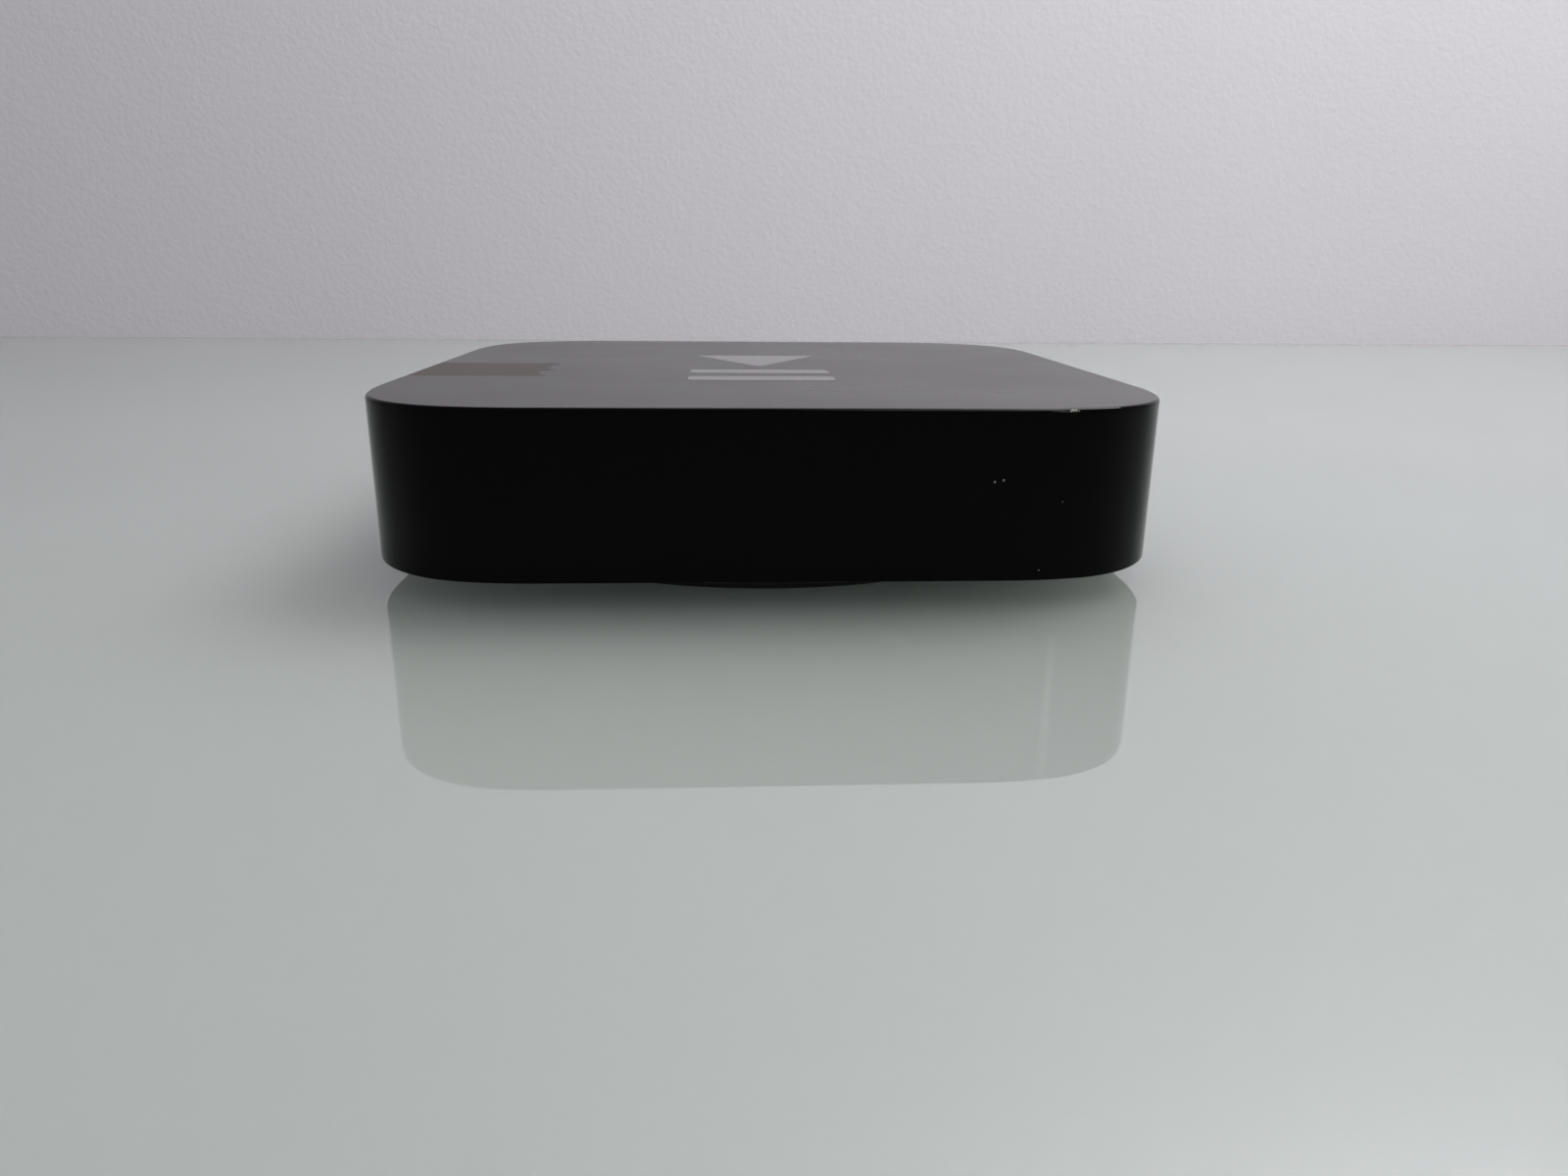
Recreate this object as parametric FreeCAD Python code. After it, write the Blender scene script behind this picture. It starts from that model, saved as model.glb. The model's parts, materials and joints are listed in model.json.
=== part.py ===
"""Streaming media player: a small square set-top box with rounded corners, built as an assembly.

A moulded housing holds a logic board with the sockets, a mains power board and a sensor board. A base
cover snaps in from below and carries a round rubber foot. The optical socket has a sprung shutter.

Frame: millimetres, +Z up, the front faces -Y and the sockets face +Y. The origin lies on the surface
that the box stands on, under the centre of the housing.
"""

import FreeCAD
import Part
import math
import os

# ---- housing -------------------------------------------------------------------------------------
case_side = 98.0  # width and depth
case_height = 23.0  # from the surface to the top face
rim_height = 3.1  # from the surface to the housing's lower edge
corner_extent = 22.0  # how far a corner's curve reaches along each side
corner_end_radius = 40.0  # the gentle arc at each end of a corner
corner_end_turn = math.radians(12.0)
side_wall = 2.2
top_wall = 2.0
top_edge_radius = 0.45
lower_edge_radius = 0.3
ceiling_rib_height = 0.8
ceiling_rib_width = 1.0
ceiling_rib_offset = 13.0  # from the middle, each way

# ---- base cover and foot -------------------------------------------------------------------------
cover_recess = 0.2  # how far the cover sits above the housing's lower edge
cover_gap = 0.15  # all round, to the housing
cover_thickness = 1.6
plinth_rim = 1.6  # round the foot's seat
plinth_wall = 1.5
foot_radius = 41.6
foot_projection = 1.1  # how far the foot stands out of the plinth
foot_seat = 0.5  # depth of its seat in the plinth
foot_gap = 0.1
foot_edge_radius = 0.5
hook_width = 6.0
hook_thickness = 1.1
hook_height = 4.2
barb_height = 1.7
barb_depth = 0.45
catch_depth = 0.7
catch_gap = 0.15
hook_offset = 20.0  # of the outer hooks from the middle of a side
lug_height = 1.7
seat_rib_width = 1.2
seat_rib_depth = 1.2
seat_rib_offset = 10.0

# ---- boards, posts and screws --------------------------------------------------------------------
board_thickness = 1.2
board_wall_gap = 1.8  # between a board's edge and the housing
logic_board_z = 11.0
power_board_z = 6.4
divider_x = 13.35  # middle of the insulating wall between the two boards
divider_gap = 1.2  # from there to the logic board
power_edge_gap = 0.65  # from there to the power board
insulator_thickness = 0.3
divider_top_z = 16.0
post_radius = 2.3
post_hole_radius = 0.85
post_hole_depth = 5.5
screw_radius = 0.8
screw_engagement = 4.5
screw_head_radius = 1.9
screw_head_height = 1.0
screw_slot_width = 0.5
screw_slot_depth = 0.5
screw_hole_radius = 1.1
leg_radius = 2.5  # the spreader's raised bosses round its screws

# ---- sockets in the rear wall --------------------------------------------------------------------
port_z = 12.4  # middle of the tall sockets
port_recess = 0.6  # of each socket's mouth behind the outer face
port_gap = 0.25  # between a socket and its opening in the wall
port_corner_radius = 0.6
video_edge_gap = 1.3  # from its shell to the logic board's right edge
video_optical_gap = 1.25
optical_network_gap = 2.1
inlet_gap = 0.1  # from its block to the power board's left edge

inlet_pin_spacing = 6.6
inlet_lobe_radius = 3.8
inlet_waist = 6.0  # height of the recess between the lobes
inlet_wall = 0.7
inlet_depth = 12.4
inlet_block_width = 16.8
inlet_block_height = 9.6
inlet_block_back = 2.5  # solid behind the recess
inlet_pin_radius = 1.2
inlet_pin_length = 9.5
inlet_shank_radius = 1.0  # of the part of each pin inside the moulding
inlet_tail_reach = 1.5

video_width = 14.7
video_height = 5.3
video_depth = 11.0
video_bevel = 1.3
video_sheet = 0.35
video_tongue_width = 12.0
video_tongue_thickness = 1.2
video_block_depth = 2.5
tongue_setback = 1.4  # of a socket's tongue behind its mouth
contact_thickness = 0.12
contact_width = 0.35

service_width = 7.9
service_height = 2.95
service_depth = 5.2
service_bevel = 0.8
service_sheet = 0.25
service_tongue_width = 3.9
service_tongue_thickness = 0.6
service_block_depth = 1.0

optical_side = 9.8
optical_depth = 14.0
optical_cavity = 8.4
optical_cavity_depth = 10.0
optical_bevel = 1.2
ferrule_radius = 1.75
ferrule_length = 2.0
emitter_side = 5.8
emitter_depth = 1.9
emitter_gap = 0.1
lens_radius = 1.3
shutter_side_gap = 0.2
shutter_end_gap = 0.25
shutter_thickness = 0.7
shutter_setback = 1.3  # of its hinge behind the mouth
barrel_radius = 0.65
barrel_bore = 0.36
barrel_top_gap = 0.1
hinge_pin_radius = 0.3
spring_space = 2.4  # gap in the barrel for the spring
spring_wire = 0.2
spring_radius = 0.5
spring_turns = 5.5
spring_leg = 2.2

network_width = 15.5
network_height = 13.0
network_depth = 15.8
network_sheet = 0.25
plug_width = 11.9
plug_height = 7.2
plug_depth = 13.0
plug_floor = 3.0  # from the body's lower face to the plug's space
latch_wide = 6.2
latch_wide_height = 1.5
latch_narrow = 3.4
latch_narrow_height = 0.8
contact_count = 8
contact_pitch = 1.02
contact_wire = 0.35
contact_room = 1.6  # height of the slot above the plug for the contacts
contact_slot_wall = 1.5  # solid behind that slot
contact_reach = 2.5  # how far a free end hangs into the plug's space

# ---- sensor board behind the front wall ----------------------------------------------------------
sensor_x = 22.5
sensor_width = 17.0
sensor_z = 8.4
sensor_height = 8.6
sensor_thickness = 0.8
sensor_setback = 6.0  # from the front wall's inner face
sensor_post_radius = 1.8
sensor_screw_radius = 0.55
sensor_screw_head = 1.3
receiver_offset = -5.0  # from the board's middle
receiver_width = 5.4
receiver_height = 6.2
receiver_depth = 3.6
receiver_lens = 2.2
receiver_window = 6.0  # side of the thinned patch of wall in front of it
receiver_window_wall = 1.0
light_offset = 3.5
light_radius = 0.55
light_hole_gap = 0.05
light_flange_radius = 1.2
light_flange_thickness = 0.8
light_setback = 0.05
light_gap = 0.6

# ---- logic board's parts -------------------------------------------------------------------------
processor_side = 14.0
processor_height = 1.4
processor_x = -20.0
processor_y = 4.0
can_side = 26.0
can_height = 1.8
can_sheet = 0.2
can_window = 15.0
spreader_z = 7.2
spreader_thickness = 1.0
spreader_inset = 1.5  # from the logic board's edges
spreader_rear_y = 30.0
radio_side = 12.0
radio_height = 1.8
radio_can_side = 14.0
radio_can_height = 2.4
radio_x = -20.0
radio_y = -31.0
antenna_x = -25.0
antenna_length = 20.0
antenna_height = 8.0
antenna_thickness = 0.25
antenna_z = 10.0
coax_radius = 0.55
wire_radius = 0.55
signal_wire_radius = 0.3

V = FreeCAD.Vector
UP = V(0, 0, 1)
BACK = V(0, 1, 0)
RIGHT = V(1, 0, 0)

half = case_side / 2
inner_half = half - side_wall
ceiling = case_height - top_wall
cover_z = rim_height + cover_recess
plinth_radius = foot_radius + foot_gap + plinth_rim
cover_top = cover_z + cover_thickness
board_half = inner_half - board_wall_gap
logic_top = logic_board_z + board_thickness
power_top = power_board_z + board_thickness
logic_left = -board_half
logic_right = divider_x - divider_gap
power_left = divider_x + power_edge_gap
board_front = -board_half + 4.0
power_front = -board_half + 11.0
port_face = half - port_recess
spreader_top = spreader_z + spreader_thickness
video_x = logic_right - video_edge_gap - video_width / 2
optical_x = video_x - video_width / 2 - video_optical_gap - optical_side / 2
network_right = optical_x - optical_side / 2 - optical_network_gap
network_x = network_right - network_sheet - network_width / 2
inlet_x = power_left + inlet_gap + inlet_block_width / 2
receiver_x = sensor_x + receiver_offset
light_x = sensor_x + light_offset
sensor_face = -inner_half + sensor_setback
sensor_back = sensor_face + sensor_thickness
sensor_posts = [(sensor_x - 0.2, sensor_z + 6.6), (sensor_x + 6.7, sensor_z + 4.0)]

# Screw places on each board. The first logic post has a short screw, the others also hold the spreader.
logic_posts = [
    (logic_left + 6.5, board_half - 7.5),
    (logic_left + 5.5, board_front + 9.0),
    (-4.0, board_front + 6.0),
    (logic_right - 4.2, 14.0),
    (logic_left + 5.0, 6.0),
]
power_posts = [
    (power_left + 16.0, power_front + 4.5),
    (board_half - 2.8, 17.5),
    (power_left + 2.8, 19.0),
    (board_half - 2.8, -17.0),
]


# ---- shapes used by several parts ----------------------------------------------------------------
def box(x0, x1, y0, y1, z0, z1):
    """A box between two corners."""
    return Part.makeBox(x1 - x0, y1 - y0, z1 - z0, V(x0, y0, z0))


def centred_box(x, y, width, depth, z0, z1):
    """A box with its middle at x, y in plan."""
    return box(x - width / 2, x + width / 2, y - depth / 2, y + depth / 2, z0, z1)


def rod(x, y, z, radius, length, axis):
    """A cylinder of this radius that starts at the point and runs along axis."""
    return Part.makeCylinder(radius, length, V(x, y, z), axis)


def joined(shapes):
    """One solid from overlapping or touching shapes."""
    return shapes[0].multiFuse(shapes[1:]).removeSplitter()


def rounded(shape, radius, direction):
    """The shape with its straight edges along a direction rounded."""
    edges = [
        e for e in shape.Edges if abs(abs(e.tangentAt(e.FirstParameter).dot(direction)) - 1) < 1e-6
    ]
    return shape.makeFillet(radius, edges)


def prism(points, vector):
    """A closed polygon of points extruded along a vector."""
    return Part.Face(Part.makePolygon([V(*p) for p in points + points[:1]])).extrude(vector)


def turned(point, quarter_turns):
    """A plan point turned about the origin by quarter turns."""
    x, y = point
    for _ in range(quarter_turns):
        x, y = -y, x
    return x, y


def outline(inset, z):
    """The plan outline, moved inwards by inset: four sides, each corner three tangent arcs."""
    reach = half - inset
    extent = corner_extent - inset
    end_radius = corner_end_radius - inset
    cosine, sine = math.cos(corner_end_turn), math.sin(corner_end_turn)
    middle_radius = (extent - end_radius * (1 - cosine + sine)) / (cosine - sine)
    arcs = []
    centre_x, centre_y = reach - end_radius, reach - extent
    angle = 0.0
    for radius, turn, next_radius in (
        (end_radius, corner_end_turn, middle_radius),
        (middle_radius, math.pi / 2 - 2 * corner_end_turn, end_radius),
        (end_radius, corner_end_turn, end_radius),
    ):
        arcs.append(
            [
                (centre_x + radius * math.cos(a), centre_y + radius * math.sin(a))
                for a in (angle, angle + turn / 2, angle + turn)
            ]
        )
        angle += turn
        centre_x += (radius - next_radius) * math.cos(angle)
        centre_y += (radius - next_radius) * math.sin(angle)
    edges = []
    for quarter in range(4):
        for arc in arcs:
            start, middle, end = [V(*turned(p, quarter), z) for p in arc]
            edges.append(Part.Arc(start, middle, end).toShape())
        next_start = V(*turned(arcs[0][0], quarter + 1), z)
        edges.append(Part.LineSegment(V(*turned(arcs[-1][-1], quarter), z), next_start).toShape())
    return Part.Wire(edges)


def slab(inset, z0, z1):
    """A plate of the plan outline between two heights."""
    return Part.Face(outline(inset, z0)).extrude(V(0, 0, z1 - z0))


def tube(points, bend_radius, wire):
    """A round wire of radius wire along straight runs joined by tangent arcs."""
    points = [V(*p) for p in points]
    edges = []
    start = points[0]
    for before, corner, after in zip(points, points[1:], points[2:]):
        arriving = (corner - before).normalize()
        leaving = (after - corner).normalize()
        turn = arriving.getAngle(leaving)
        trim = bend_radius * math.tan(turn / 2)
        arc_start = corner - arriving * trim
        arc_end = corner + leaving * trim
        inward = (leaving - arriving).normalize()
        centre = corner + inward * (bend_radius / math.cos(turn / 2))
        edges.append(Part.LineSegment(start, arc_start).toShape())
        edges.append(Part.Arc(arc_start, centre - inward * bend_radius, arc_end).toShape())
        start = arc_end
    edges.append(Part.LineSegment(start, points[-1]).toShape())
    path = Part.Wire(edges)
    circle = Part.Wire([Part.makeCircle(wire, points[0], points[1] - points[0])])
    return path.makePipeShell([circle], True, False)


def screw(x, y, z, radius, head_radius, length, axis):
    """A pan head under the seat at the point and a shank along axis, with a cross recess."""
    head = rod(x, y, z, head_radius, screw_head_height, axis * -1)
    shank = rod(x, y, z, radius, length, axis)
    across = RIGHT
    upright = axis.cross(across)
    floor = V(x, y, z) - axis * (screw_head_height - screw_slot_depth)
    slots = []
    for along in (across, upright):
        other = axis.cross(along)
        corner = floor - along * (head_radius * 0.6) - other * (screw_slot_width / 2)
        side = along * (head_radius * 1.2)
        face = [corner, corner + side, corner + side + other * screw_slot_width]
        face.append(corner + other * screw_slot_width)
        slots.append(Part.Face(Part.makePolygon(face + [face[0]])).extrude(axis * -screw_slot_depth))
    return joined([head, shank]).cut(joined(slots))


def bevelled_profile(x, z, width, height, bevel, y, depth):
    """A socket shape with its two lower corners cut off, from y back by depth."""
    left, right = x - width / 2, x + width / 2
    points = [(left + bevel, y, z), (right - bevel, y, z), (right, y, z + bevel)]
    points += [(right, y, z + height), (left, y, z + height), (left, y, z + bevel)]
    return prism(points, V(0, -depth, 0))


def inlet_profile(grow, y, depth):
    """The inlet's figure of eight, grown by a margin, from y back by depth."""
    lobe = inlet_lobe_radius + grow
    offset = inlet_pin_spacing / 2
    lobes = [
        rod(inlet_x + side * offset, y - depth, port_z, lobe, depth, BACK) for side in (-1, 1)
    ]
    rise = inlet_waist / 2 + grow
    waist = box(inlet_x - offset, inlet_x + offset, y - depth, y, port_z - rise, port_z + rise)
    return joined(lobes + [waist])


def video_z():
    """Lower face of the video shell, which stands on the logic board."""
    return logic_top


def service_z():
    """Lower face of the service shell, which hangs under the logic board."""
    return logic_board_z - service_height


# ---- housing and base ----------------------------------------------------------------------------
def catch_pocket(quarter, offset):
    """Space in the housing's wall for one hook's barb."""
    z0 = cover_top + hook_height - barb_height - catch_gap
    z1 = cover_top + hook_height + catch_gap
    wide = hook_width / 2 + catch_gap
    pocket = box(offset - wide, offset + wide, inner_half - 1.0, inner_half + catch_depth, z0, z1)
    pocket.rotate(V(), UP, 90 * quarter)
    return pocket


def hook_places():
    """Quarter turn from the rear and offset along the wall of each snap hook."""
    return [(1, o) for o in (-hook_offset, 0, hook_offset)] + [
        (3, o) for o in (-hook_offset, 0, hook_offset)
    ] + [(2, o) for o in (-hook_offset - 2, hook_offset + 2)]


def seat_rib(quarter, offset):
    """A rib on the housing's wall that stops the base cover."""
    wide = seat_rib_width / 2
    y0, y1 = inner_half - seat_rib_depth, inner_half + 0.5
    rib = box(offset - wide, offset + wide, y0, y1, cover_top, ceiling)
    rib.rotate(V(), UP, 90 * quarter)
    return rib


def seat_rib_places():
    """Ribs on the sides, beside the sensor board in front, and between the sockets behind."""
    sides = [(q, o) for q in (1, 3) for o in (-seat_rib_offset, seat_rib_offset)]
    optical_edge = optical_x - optical_side / 2
    video_edge = video_x + video_width / 2
    inlet_edge = inlet_x - inlet_block_width / 2
    rear = [(0, (network_right + optical_edge) / 2), (0, (video_edge + inlet_edge) / 2)]
    return sides + [(2, 2.0), (2, -10.0)] + rear


def post(x, y, z):
    """A screw post from the ceiling down to z."""
    return rod(x, y, z, post_radius, ceiling + 0.5 - z, UP)


def port_openings():
    """The openings in the rear wall, one for each socket."""
    y = half + 1.0
    depth = side_wall + 3.0
    grow = 2 * port_gap
    video = bevelled_profile(
        video_x, video_z() - port_gap, video_width + grow, video_height + grow, video_bevel, y, depth
    )
    service = bevelled_profile(
        video_x, service_z() - port_gap, service_width + grow, service_height + grow, service_bevel, y, depth
    )
    squares = []
    for x, width, height in (
        (optical_x, optical_side, optical_side),
        (network_x, network_width + 2 * network_sheet, network_height + 2 * network_sheet),
    ):
        z0 = port_z - height / 2 - port_gap
        hole = box(
            x - width / 2 - port_gap,
            x + width / 2 + port_gap,
            y - depth,
            y,
            z0,
            z0 + height + grow,
        )
        squares.append(rounded(hole, port_corner_radius, BACK))
    return [video, service, inlet_profile(inlet_wall + port_gap, y, depth)] + squares


def make_housing():
    """Top and side walls in one moulding, with posts, ribs, catches and the sockets' openings."""
    solid = slab(0, rim_height, case_height)
    for z, radius in ((case_height, top_edge_radius), (rim_height, lower_edge_radius)):
        edges = [e for e in solid.Edges if e.BoundBox.ZMin > z - 0.01 and e.BoundBox.ZMax < z + 0.01]
        solid = solid.makeFillet(radius, edges)
    inside = slab(side_wall, rim_height - 1.0, ceiling)
    shell = solid.cut(inside)
    adds = [seat_rib(q, o) for q, o in seat_rib_places()]
    adds += [post(x, y, logic_top) for x, y in logic_posts]
    adds += [post(x, y, power_top) for x, y in power_posts]
    wide, low = ceiling_rib_width / 2, ceiling - ceiling_rib_height
    long = inner_half + 0.5
    for side in (-ceiling_rib_offset, ceiling_rib_offset):
        adds.append(box(side - wide, side + wide, -long, long, low, ceiling + 0.5))
        adds.append(box(-long, long, side - wide, side + wide, low, ceiling + 0.5))
    for x, z in sensor_posts:
        start = -half + side_wall / 2
        adds.append(rod(x, start, z, sensor_post_radius, sensor_face - start, BACK))
    shell = joined([shell] + adds)
    cuts = [rod(x, y, logic_top, post_hole_radius, post_hole_depth, UP) for x, y in logic_posts]
    cuts += [rod(x, y, power_top, post_hole_radius, post_hole_depth, UP) for x, y in power_posts]
    for x, z in sensor_posts:
        cuts.append(rod(x, sensor_face, z, sensor_screw_radius + 0.05, sensor_setback - 0.5, BACK * -1))
    cuts += [catch_pocket(q, o) for q, o in hook_places()]
    cuts += port_openings()
    light_hole = light_radius + light_hole_gap
    cuts.append(rod(light_x, -half - 1.0, port_z, light_hole, side_wall + 2.0, BACK))
    window = receiver_window / 2
    window_y = -half + receiver_window_wall
    cuts.append(
        box(
            receiver_x - window,
            receiver_x + window,
            window_y,
            -inner_half + 0.01,
            port_z - window,
            port_z + window,
        )
    )
    for cutter in cuts:
        shell = shell.cut(cutter)
    return shell.removeSplitter()


def make_hook(quarter, offset):
    """A snap hook with an outward barb."""
    outer = inner_half - cover_gap
    top = cover_top + hook_height
    z_barb = top - barb_height
    points = [
        (offset - hook_width / 2, outer - hook_thickness, cover_top - 0.5),
        (offset - hook_width / 2, outer, cover_top - 0.5),
        (offset - hook_width / 2, outer, z_barb),
        (offset - hook_width / 2, outer + barb_depth, z_barb + 0.3),
        (offset - hook_width / 2, outer + barb_depth, z_barb + 0.7),
        (offset - hook_width / 2, outer, top),
        (offset - hook_width / 2, outer - hook_thickness, top),
    ]
    hook = prism(points, V(hook_width, 0, 0))
    hook.rotate(V(), UP, 90 * quarter)
    return hook


def make_base_cover():
    """Plate with a round plinth below and snap hooks above."""
    plate = slab(side_wall + cover_gap, cover_z, cover_top)
    plinth = rod(0, 0, foot_projection, plinth_radius, cover_z - foot_projection + 0.1, UP)
    hooks = [make_hook(q, o) for q, o in hook_places()]
    lugs = [
        box(
            x - hook_width / 2,
            x + hook_width / 2,
            inner_half - cover_gap - hook_thickness,
            inner_half - cover_gap,
            cover_top - 0.5,
            cover_top + lug_height,
        )
        for x in (optical_x, video_x)
    ]
    cover = joined([plate, plinth] + hooks + lugs)
    seat_top = foot_projection + foot_seat
    seat = rod(0, 0, 0, foot_radius + foot_gap, seat_top, UP)
    pocket_floor = seat_top + plinth_wall
    pocket = rod(0, 0, pocket_floor, plinth_radius - plinth_wall, case_height, UP)
    return cover.cut(seat).cut(pocket)


def make_foot_pad():
    """Round rubber foot with a soft lower edge and one groove near its rim."""
    pad = rod(0, 0, 0, foot_radius, foot_projection + foot_seat, UP)
    edge = [e for e in pad.Edges if e.BoundBox.ZMax < 0.01]
    pad = pad.makeFillet(foot_edge_radius, edge)
    groove_depth = 0.3
    outer = rod(0, 0, -1.0, foot_radius - 3.0, 1.0 + groove_depth, UP)
    inner = rod(0, 0, -1.0, foot_radius - 3.8, 1.0 + groove_depth, UP)
    return pad.cut(outer.cut(inner))


# ---- mains inlet and power board -----------------------------------------------------------------
def make_inlet_body():
    """Recess for a two-pole figure-of-eight plug, with a collar through the rear wall."""
    block_face = inner_half - 0.3
    back = port_face - inlet_depth - inlet_block_back
    block = box(
        inlet_x - inlet_block_width / 2,
        inlet_x + inlet_block_width / 2,
        back,
        block_face,
        power_top,
        port_z + inlet_block_height / 2,
    )
    collar = inlet_profile(inlet_wall, port_face, inlet_depth)
    body = joined([rounded(block, 0.8, BACK), collar])
    body = body.cut(inlet_profile(0, port_face + 1.0, inlet_depth + 1.0))
    for side in (-1, 1):
        x = inlet_x + side * inlet_pin_spacing / 2
        body = body.cut(rod(x, back - 1, port_z, inlet_shank_radius, inlet_depth + 3, BACK))
    return body


def make_inlet_pins():
    """Two round pins, each with a thinner shank in the moulding and a tail down to the power board."""
    floor = port_face - inlet_depth
    back = floor - inlet_block_back
    pins = []
    for side in (-1, 1):
        x = inlet_x + side * inlet_pin_spacing / 2
        start = back - inlet_tail_reach
        pin = rod(x, floor, port_z, inlet_pin_radius, inlet_pin_length, BACK)
        tip = [e for e in pin.Edges if e.BoundBox.YMin > floor + inlet_pin_length - 0.01]
        pin = pin.makeFillet(0.5, tip)
        shank = rod(x, start, port_z, inlet_shank_radius, floor - start + 0.5, BACK)
        tail = box(x - 0.5, x + 0.5, start, start + 0.8, power_board_z - 0.5, port_z)
        pins.append(joined([pin, shank, tail]))
    return Part.makeCompound(pins)


def make_power_board():
    """Power board, with holes for its screws and for the inlet's tails."""
    area = box(power_left, half, power_front, board_half - 1.0, 0, case_height)
    board = slab(side_wall + board_wall_gap, power_board_z, power_top).common(area)
    for x, y in power_posts:
        board = board.cut(rod(x, y, power_board_z - 1, screw_hole_radius, board_thickness + 2, UP))
    tail_y = port_face - inlet_depth - inlet_block_back - inlet_tail_reach
    for side in (-1, 1):
        x = inlet_x + side * inlet_pin_spacing / 2
        hole = box(x - 0.6, x + 0.6, tail_y - 0.1, tail_y + 0.9, power_board_z - 1, power_top + 1)
        board = board.cut(hole)
    return board


def make_insulator():
    """Folded insulating sheet: a floor under the power board and a wall beside it."""
    z = cover_top
    wall = box(
        divider_x - insulator_thickness / 2,
        divider_x + insulator_thickness / 2,
        power_front,
        board_half - 1.0,
        z,
        divider_top_z,
    )
    area = box(divider_x, half, power_front, board_half - 1.0, 0, case_height)
    floor = slab(side_wall + board_wall_gap, z, z + insulator_thickness).common(area)
    sheet = joined([wall, floor])
    for x, y in power_posts:
        sheet = sheet.cut(rod(x, y, z - 1, screw_head_radius + 0.6, 2.0, UP))
    return sheet


def make_transformer_core():
    """Ferrite frame round the winding."""
    x, y = power_left + 21.0, 3.0
    outer = centred_box(x, y, 16.0, 18.0, power_top, power_top + 10.5)
    window = centred_box(x, y, 17.0, 12.0, power_top - 1.0, power_top + 12.0)
    limbs = outer.cut(window)
    back = centred_box(x, y, 16.0, 18.0, power_top + 10.5, power_top + 12.0)
    return rounded(joined([limbs, back]), 0.4, UP)


def make_transformer_winding():
    """Taped winding between the limbs, on a bobbin with end flanges."""
    x, y = power_left + 21.0, 3.0
    coil = rounded(centred_box(x, y, 13.0, 10.0, power_top + 1.0, power_top + 9.6), 2.0, UP)
    flange = centred_box(x, y, 14.6, 11.6, power_top, power_top + 1.0)
    top_flange = centred_box(x, y, 14.6, 11.6, power_top + 9.6, power_top + 10.4)
    return joined([coil, flange, top_flange])


def standing_can(x, y, z, radius, height):
    """An electrolytic capacitor: a can with a crimp groove near its foot and a vent cross on top."""
    can = rod(x, y, z, radius, height, UP)
    top = [e for e in can.Edges if e.BoundBox.ZMin > z + height - 0.01]
    can = can.makeFillet(0.4, top)
    ring = rod(x, y, z + 1.2, radius + 1, 0.6, UP).cut(rod(x, y, z + 1.2, radius - 0.3, 0.6, UP))
    can = can.cut(ring)
    for wide, deep in ((radius, 0.3), (0.3, radius)):
        can = can.cut(centred_box(x, y, wide, deep, z + height - 0.2, z + height + 1))
    return can


def make_bulk_capacitors():
    """Two mains capacitors."""
    return Part.makeCompound(
        [standing_can(power_left + 7.0, y, power_top, 4.5, 12.0) for y in (12.3, 2.3)]
    )


def make_output_capacitors():
    """Four small capacitors on the low-voltage side."""
    places = [(power_left + dx, y) for dx in (15.0, 22.5) for y in (-13.0, -21.0)]
    return Part.makeCompound([standing_can(x, y, power_top, 3.1, 9.0) for x, y in places])


def make_mains_choke():
    """Two windings on one upright ferrite ring, on a plastic base."""
    x, y = power_left + 7.5, 26.6
    base = centred_box(x, y, 11.0, 7.6, power_top, power_top + 1.2)
    axis_z = power_top + 6.2
    ring = rod(x, y - 2.0, axis_z, 5.0, 4.0, BACK).cut(rod(x, y - 3.0, axis_z, 2.2, 6.0, BACK))
    winding = rod(x, y - 2.7, axis_z, 5.3, 5.4, BACK).cut(rod(x, y - 3.0, axis_z, 1.8, 6.0, BACK))
    keep = box(x - 6, x - 1.6, y - 3, y + 3, 0, case_height)
    other = box(x + 1.6, x + 6, y - 3, y + 3, 0, case_height)
    return joined([base, ring, winding.common(keep), winding.common(other)])


def make_mains_parts():
    """Fuse, bridge rectifier, optocoupler and suppressor capacitor, as separate solids."""
    fuse = rod(board_half - 8.0, 27.5, power_top + 2.1, 1.8, 8.0, BACK)
    caps = [rod(board_half - 8.0, y, power_top + 2.1, 2.1, 1.5, BACK) for y in (26.0, 35.5)]
    bridge = centred_box(power_left + 19.5, 21.0, 7.5, 6.5, power_top, power_top + 2.6)
    opto = centred_box(power_left + 6.0, -14.5, 4.6, 6.5, power_top, power_top + 3.2)
    disc = rod(power_left + 4.5, -6.0, power_top + 4.2, 3.5, 3.0, RIGHT)
    rim = [e for e in disc.Edges if e.Curve.TypeId == "Part::GeomCircle"]
    disc = disc.makeFillet(0.9, rim)
    legs = [
        centred_box(power_left + 6.0, -6.0 + side * 2.0, 0.6, 0.6, power_top, power_top + 2.5)
        for side in (-1, 1)
    ]
    return Part.makeCompound([fuse] + caps + [bridge, opto, joined([disc] + legs)])


def make_output_choke():
    """Drum-shaped coil at the low-voltage output."""
    x, y = power_left + 24.0, -28.5
    drum = rod(x, y, power_top, 3.5, 6.5, UP)
    waist = rod(x, y, power_top + 1, 4, 4.5, UP).cut(rod(x, y, power_top + 1, 2.8, 4.5, UP))
    return drum.cut(waist)


lead_y = power_front + 6.0
lead_pitch = 1.4
lead_drop = 3.5  # height of the logic board's header
lead_rise = 5.0  # height of the power board's header
lead_top = 18.2


def lead_places():
    """Places across the headers of the four supply wires."""
    return [lead_y + lead_pitch * (i - 1.5) for i in range(4)]


def make_power_headers():
    """The two plug-in headers that the supply lead joins."""
    on_power = centred_box(power_left + 4.5, lead_y, 6.0, 6.6, power_top, power_top + lead_rise)
    on_logic = centred_box(logic_right - 4.6, lead_y, 6.0, 6.6, logic_top, logic_top + lead_drop)
    return Part.makeCompound([rounded(h, 0.5, UP) for h in (on_power, on_logic)])


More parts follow.
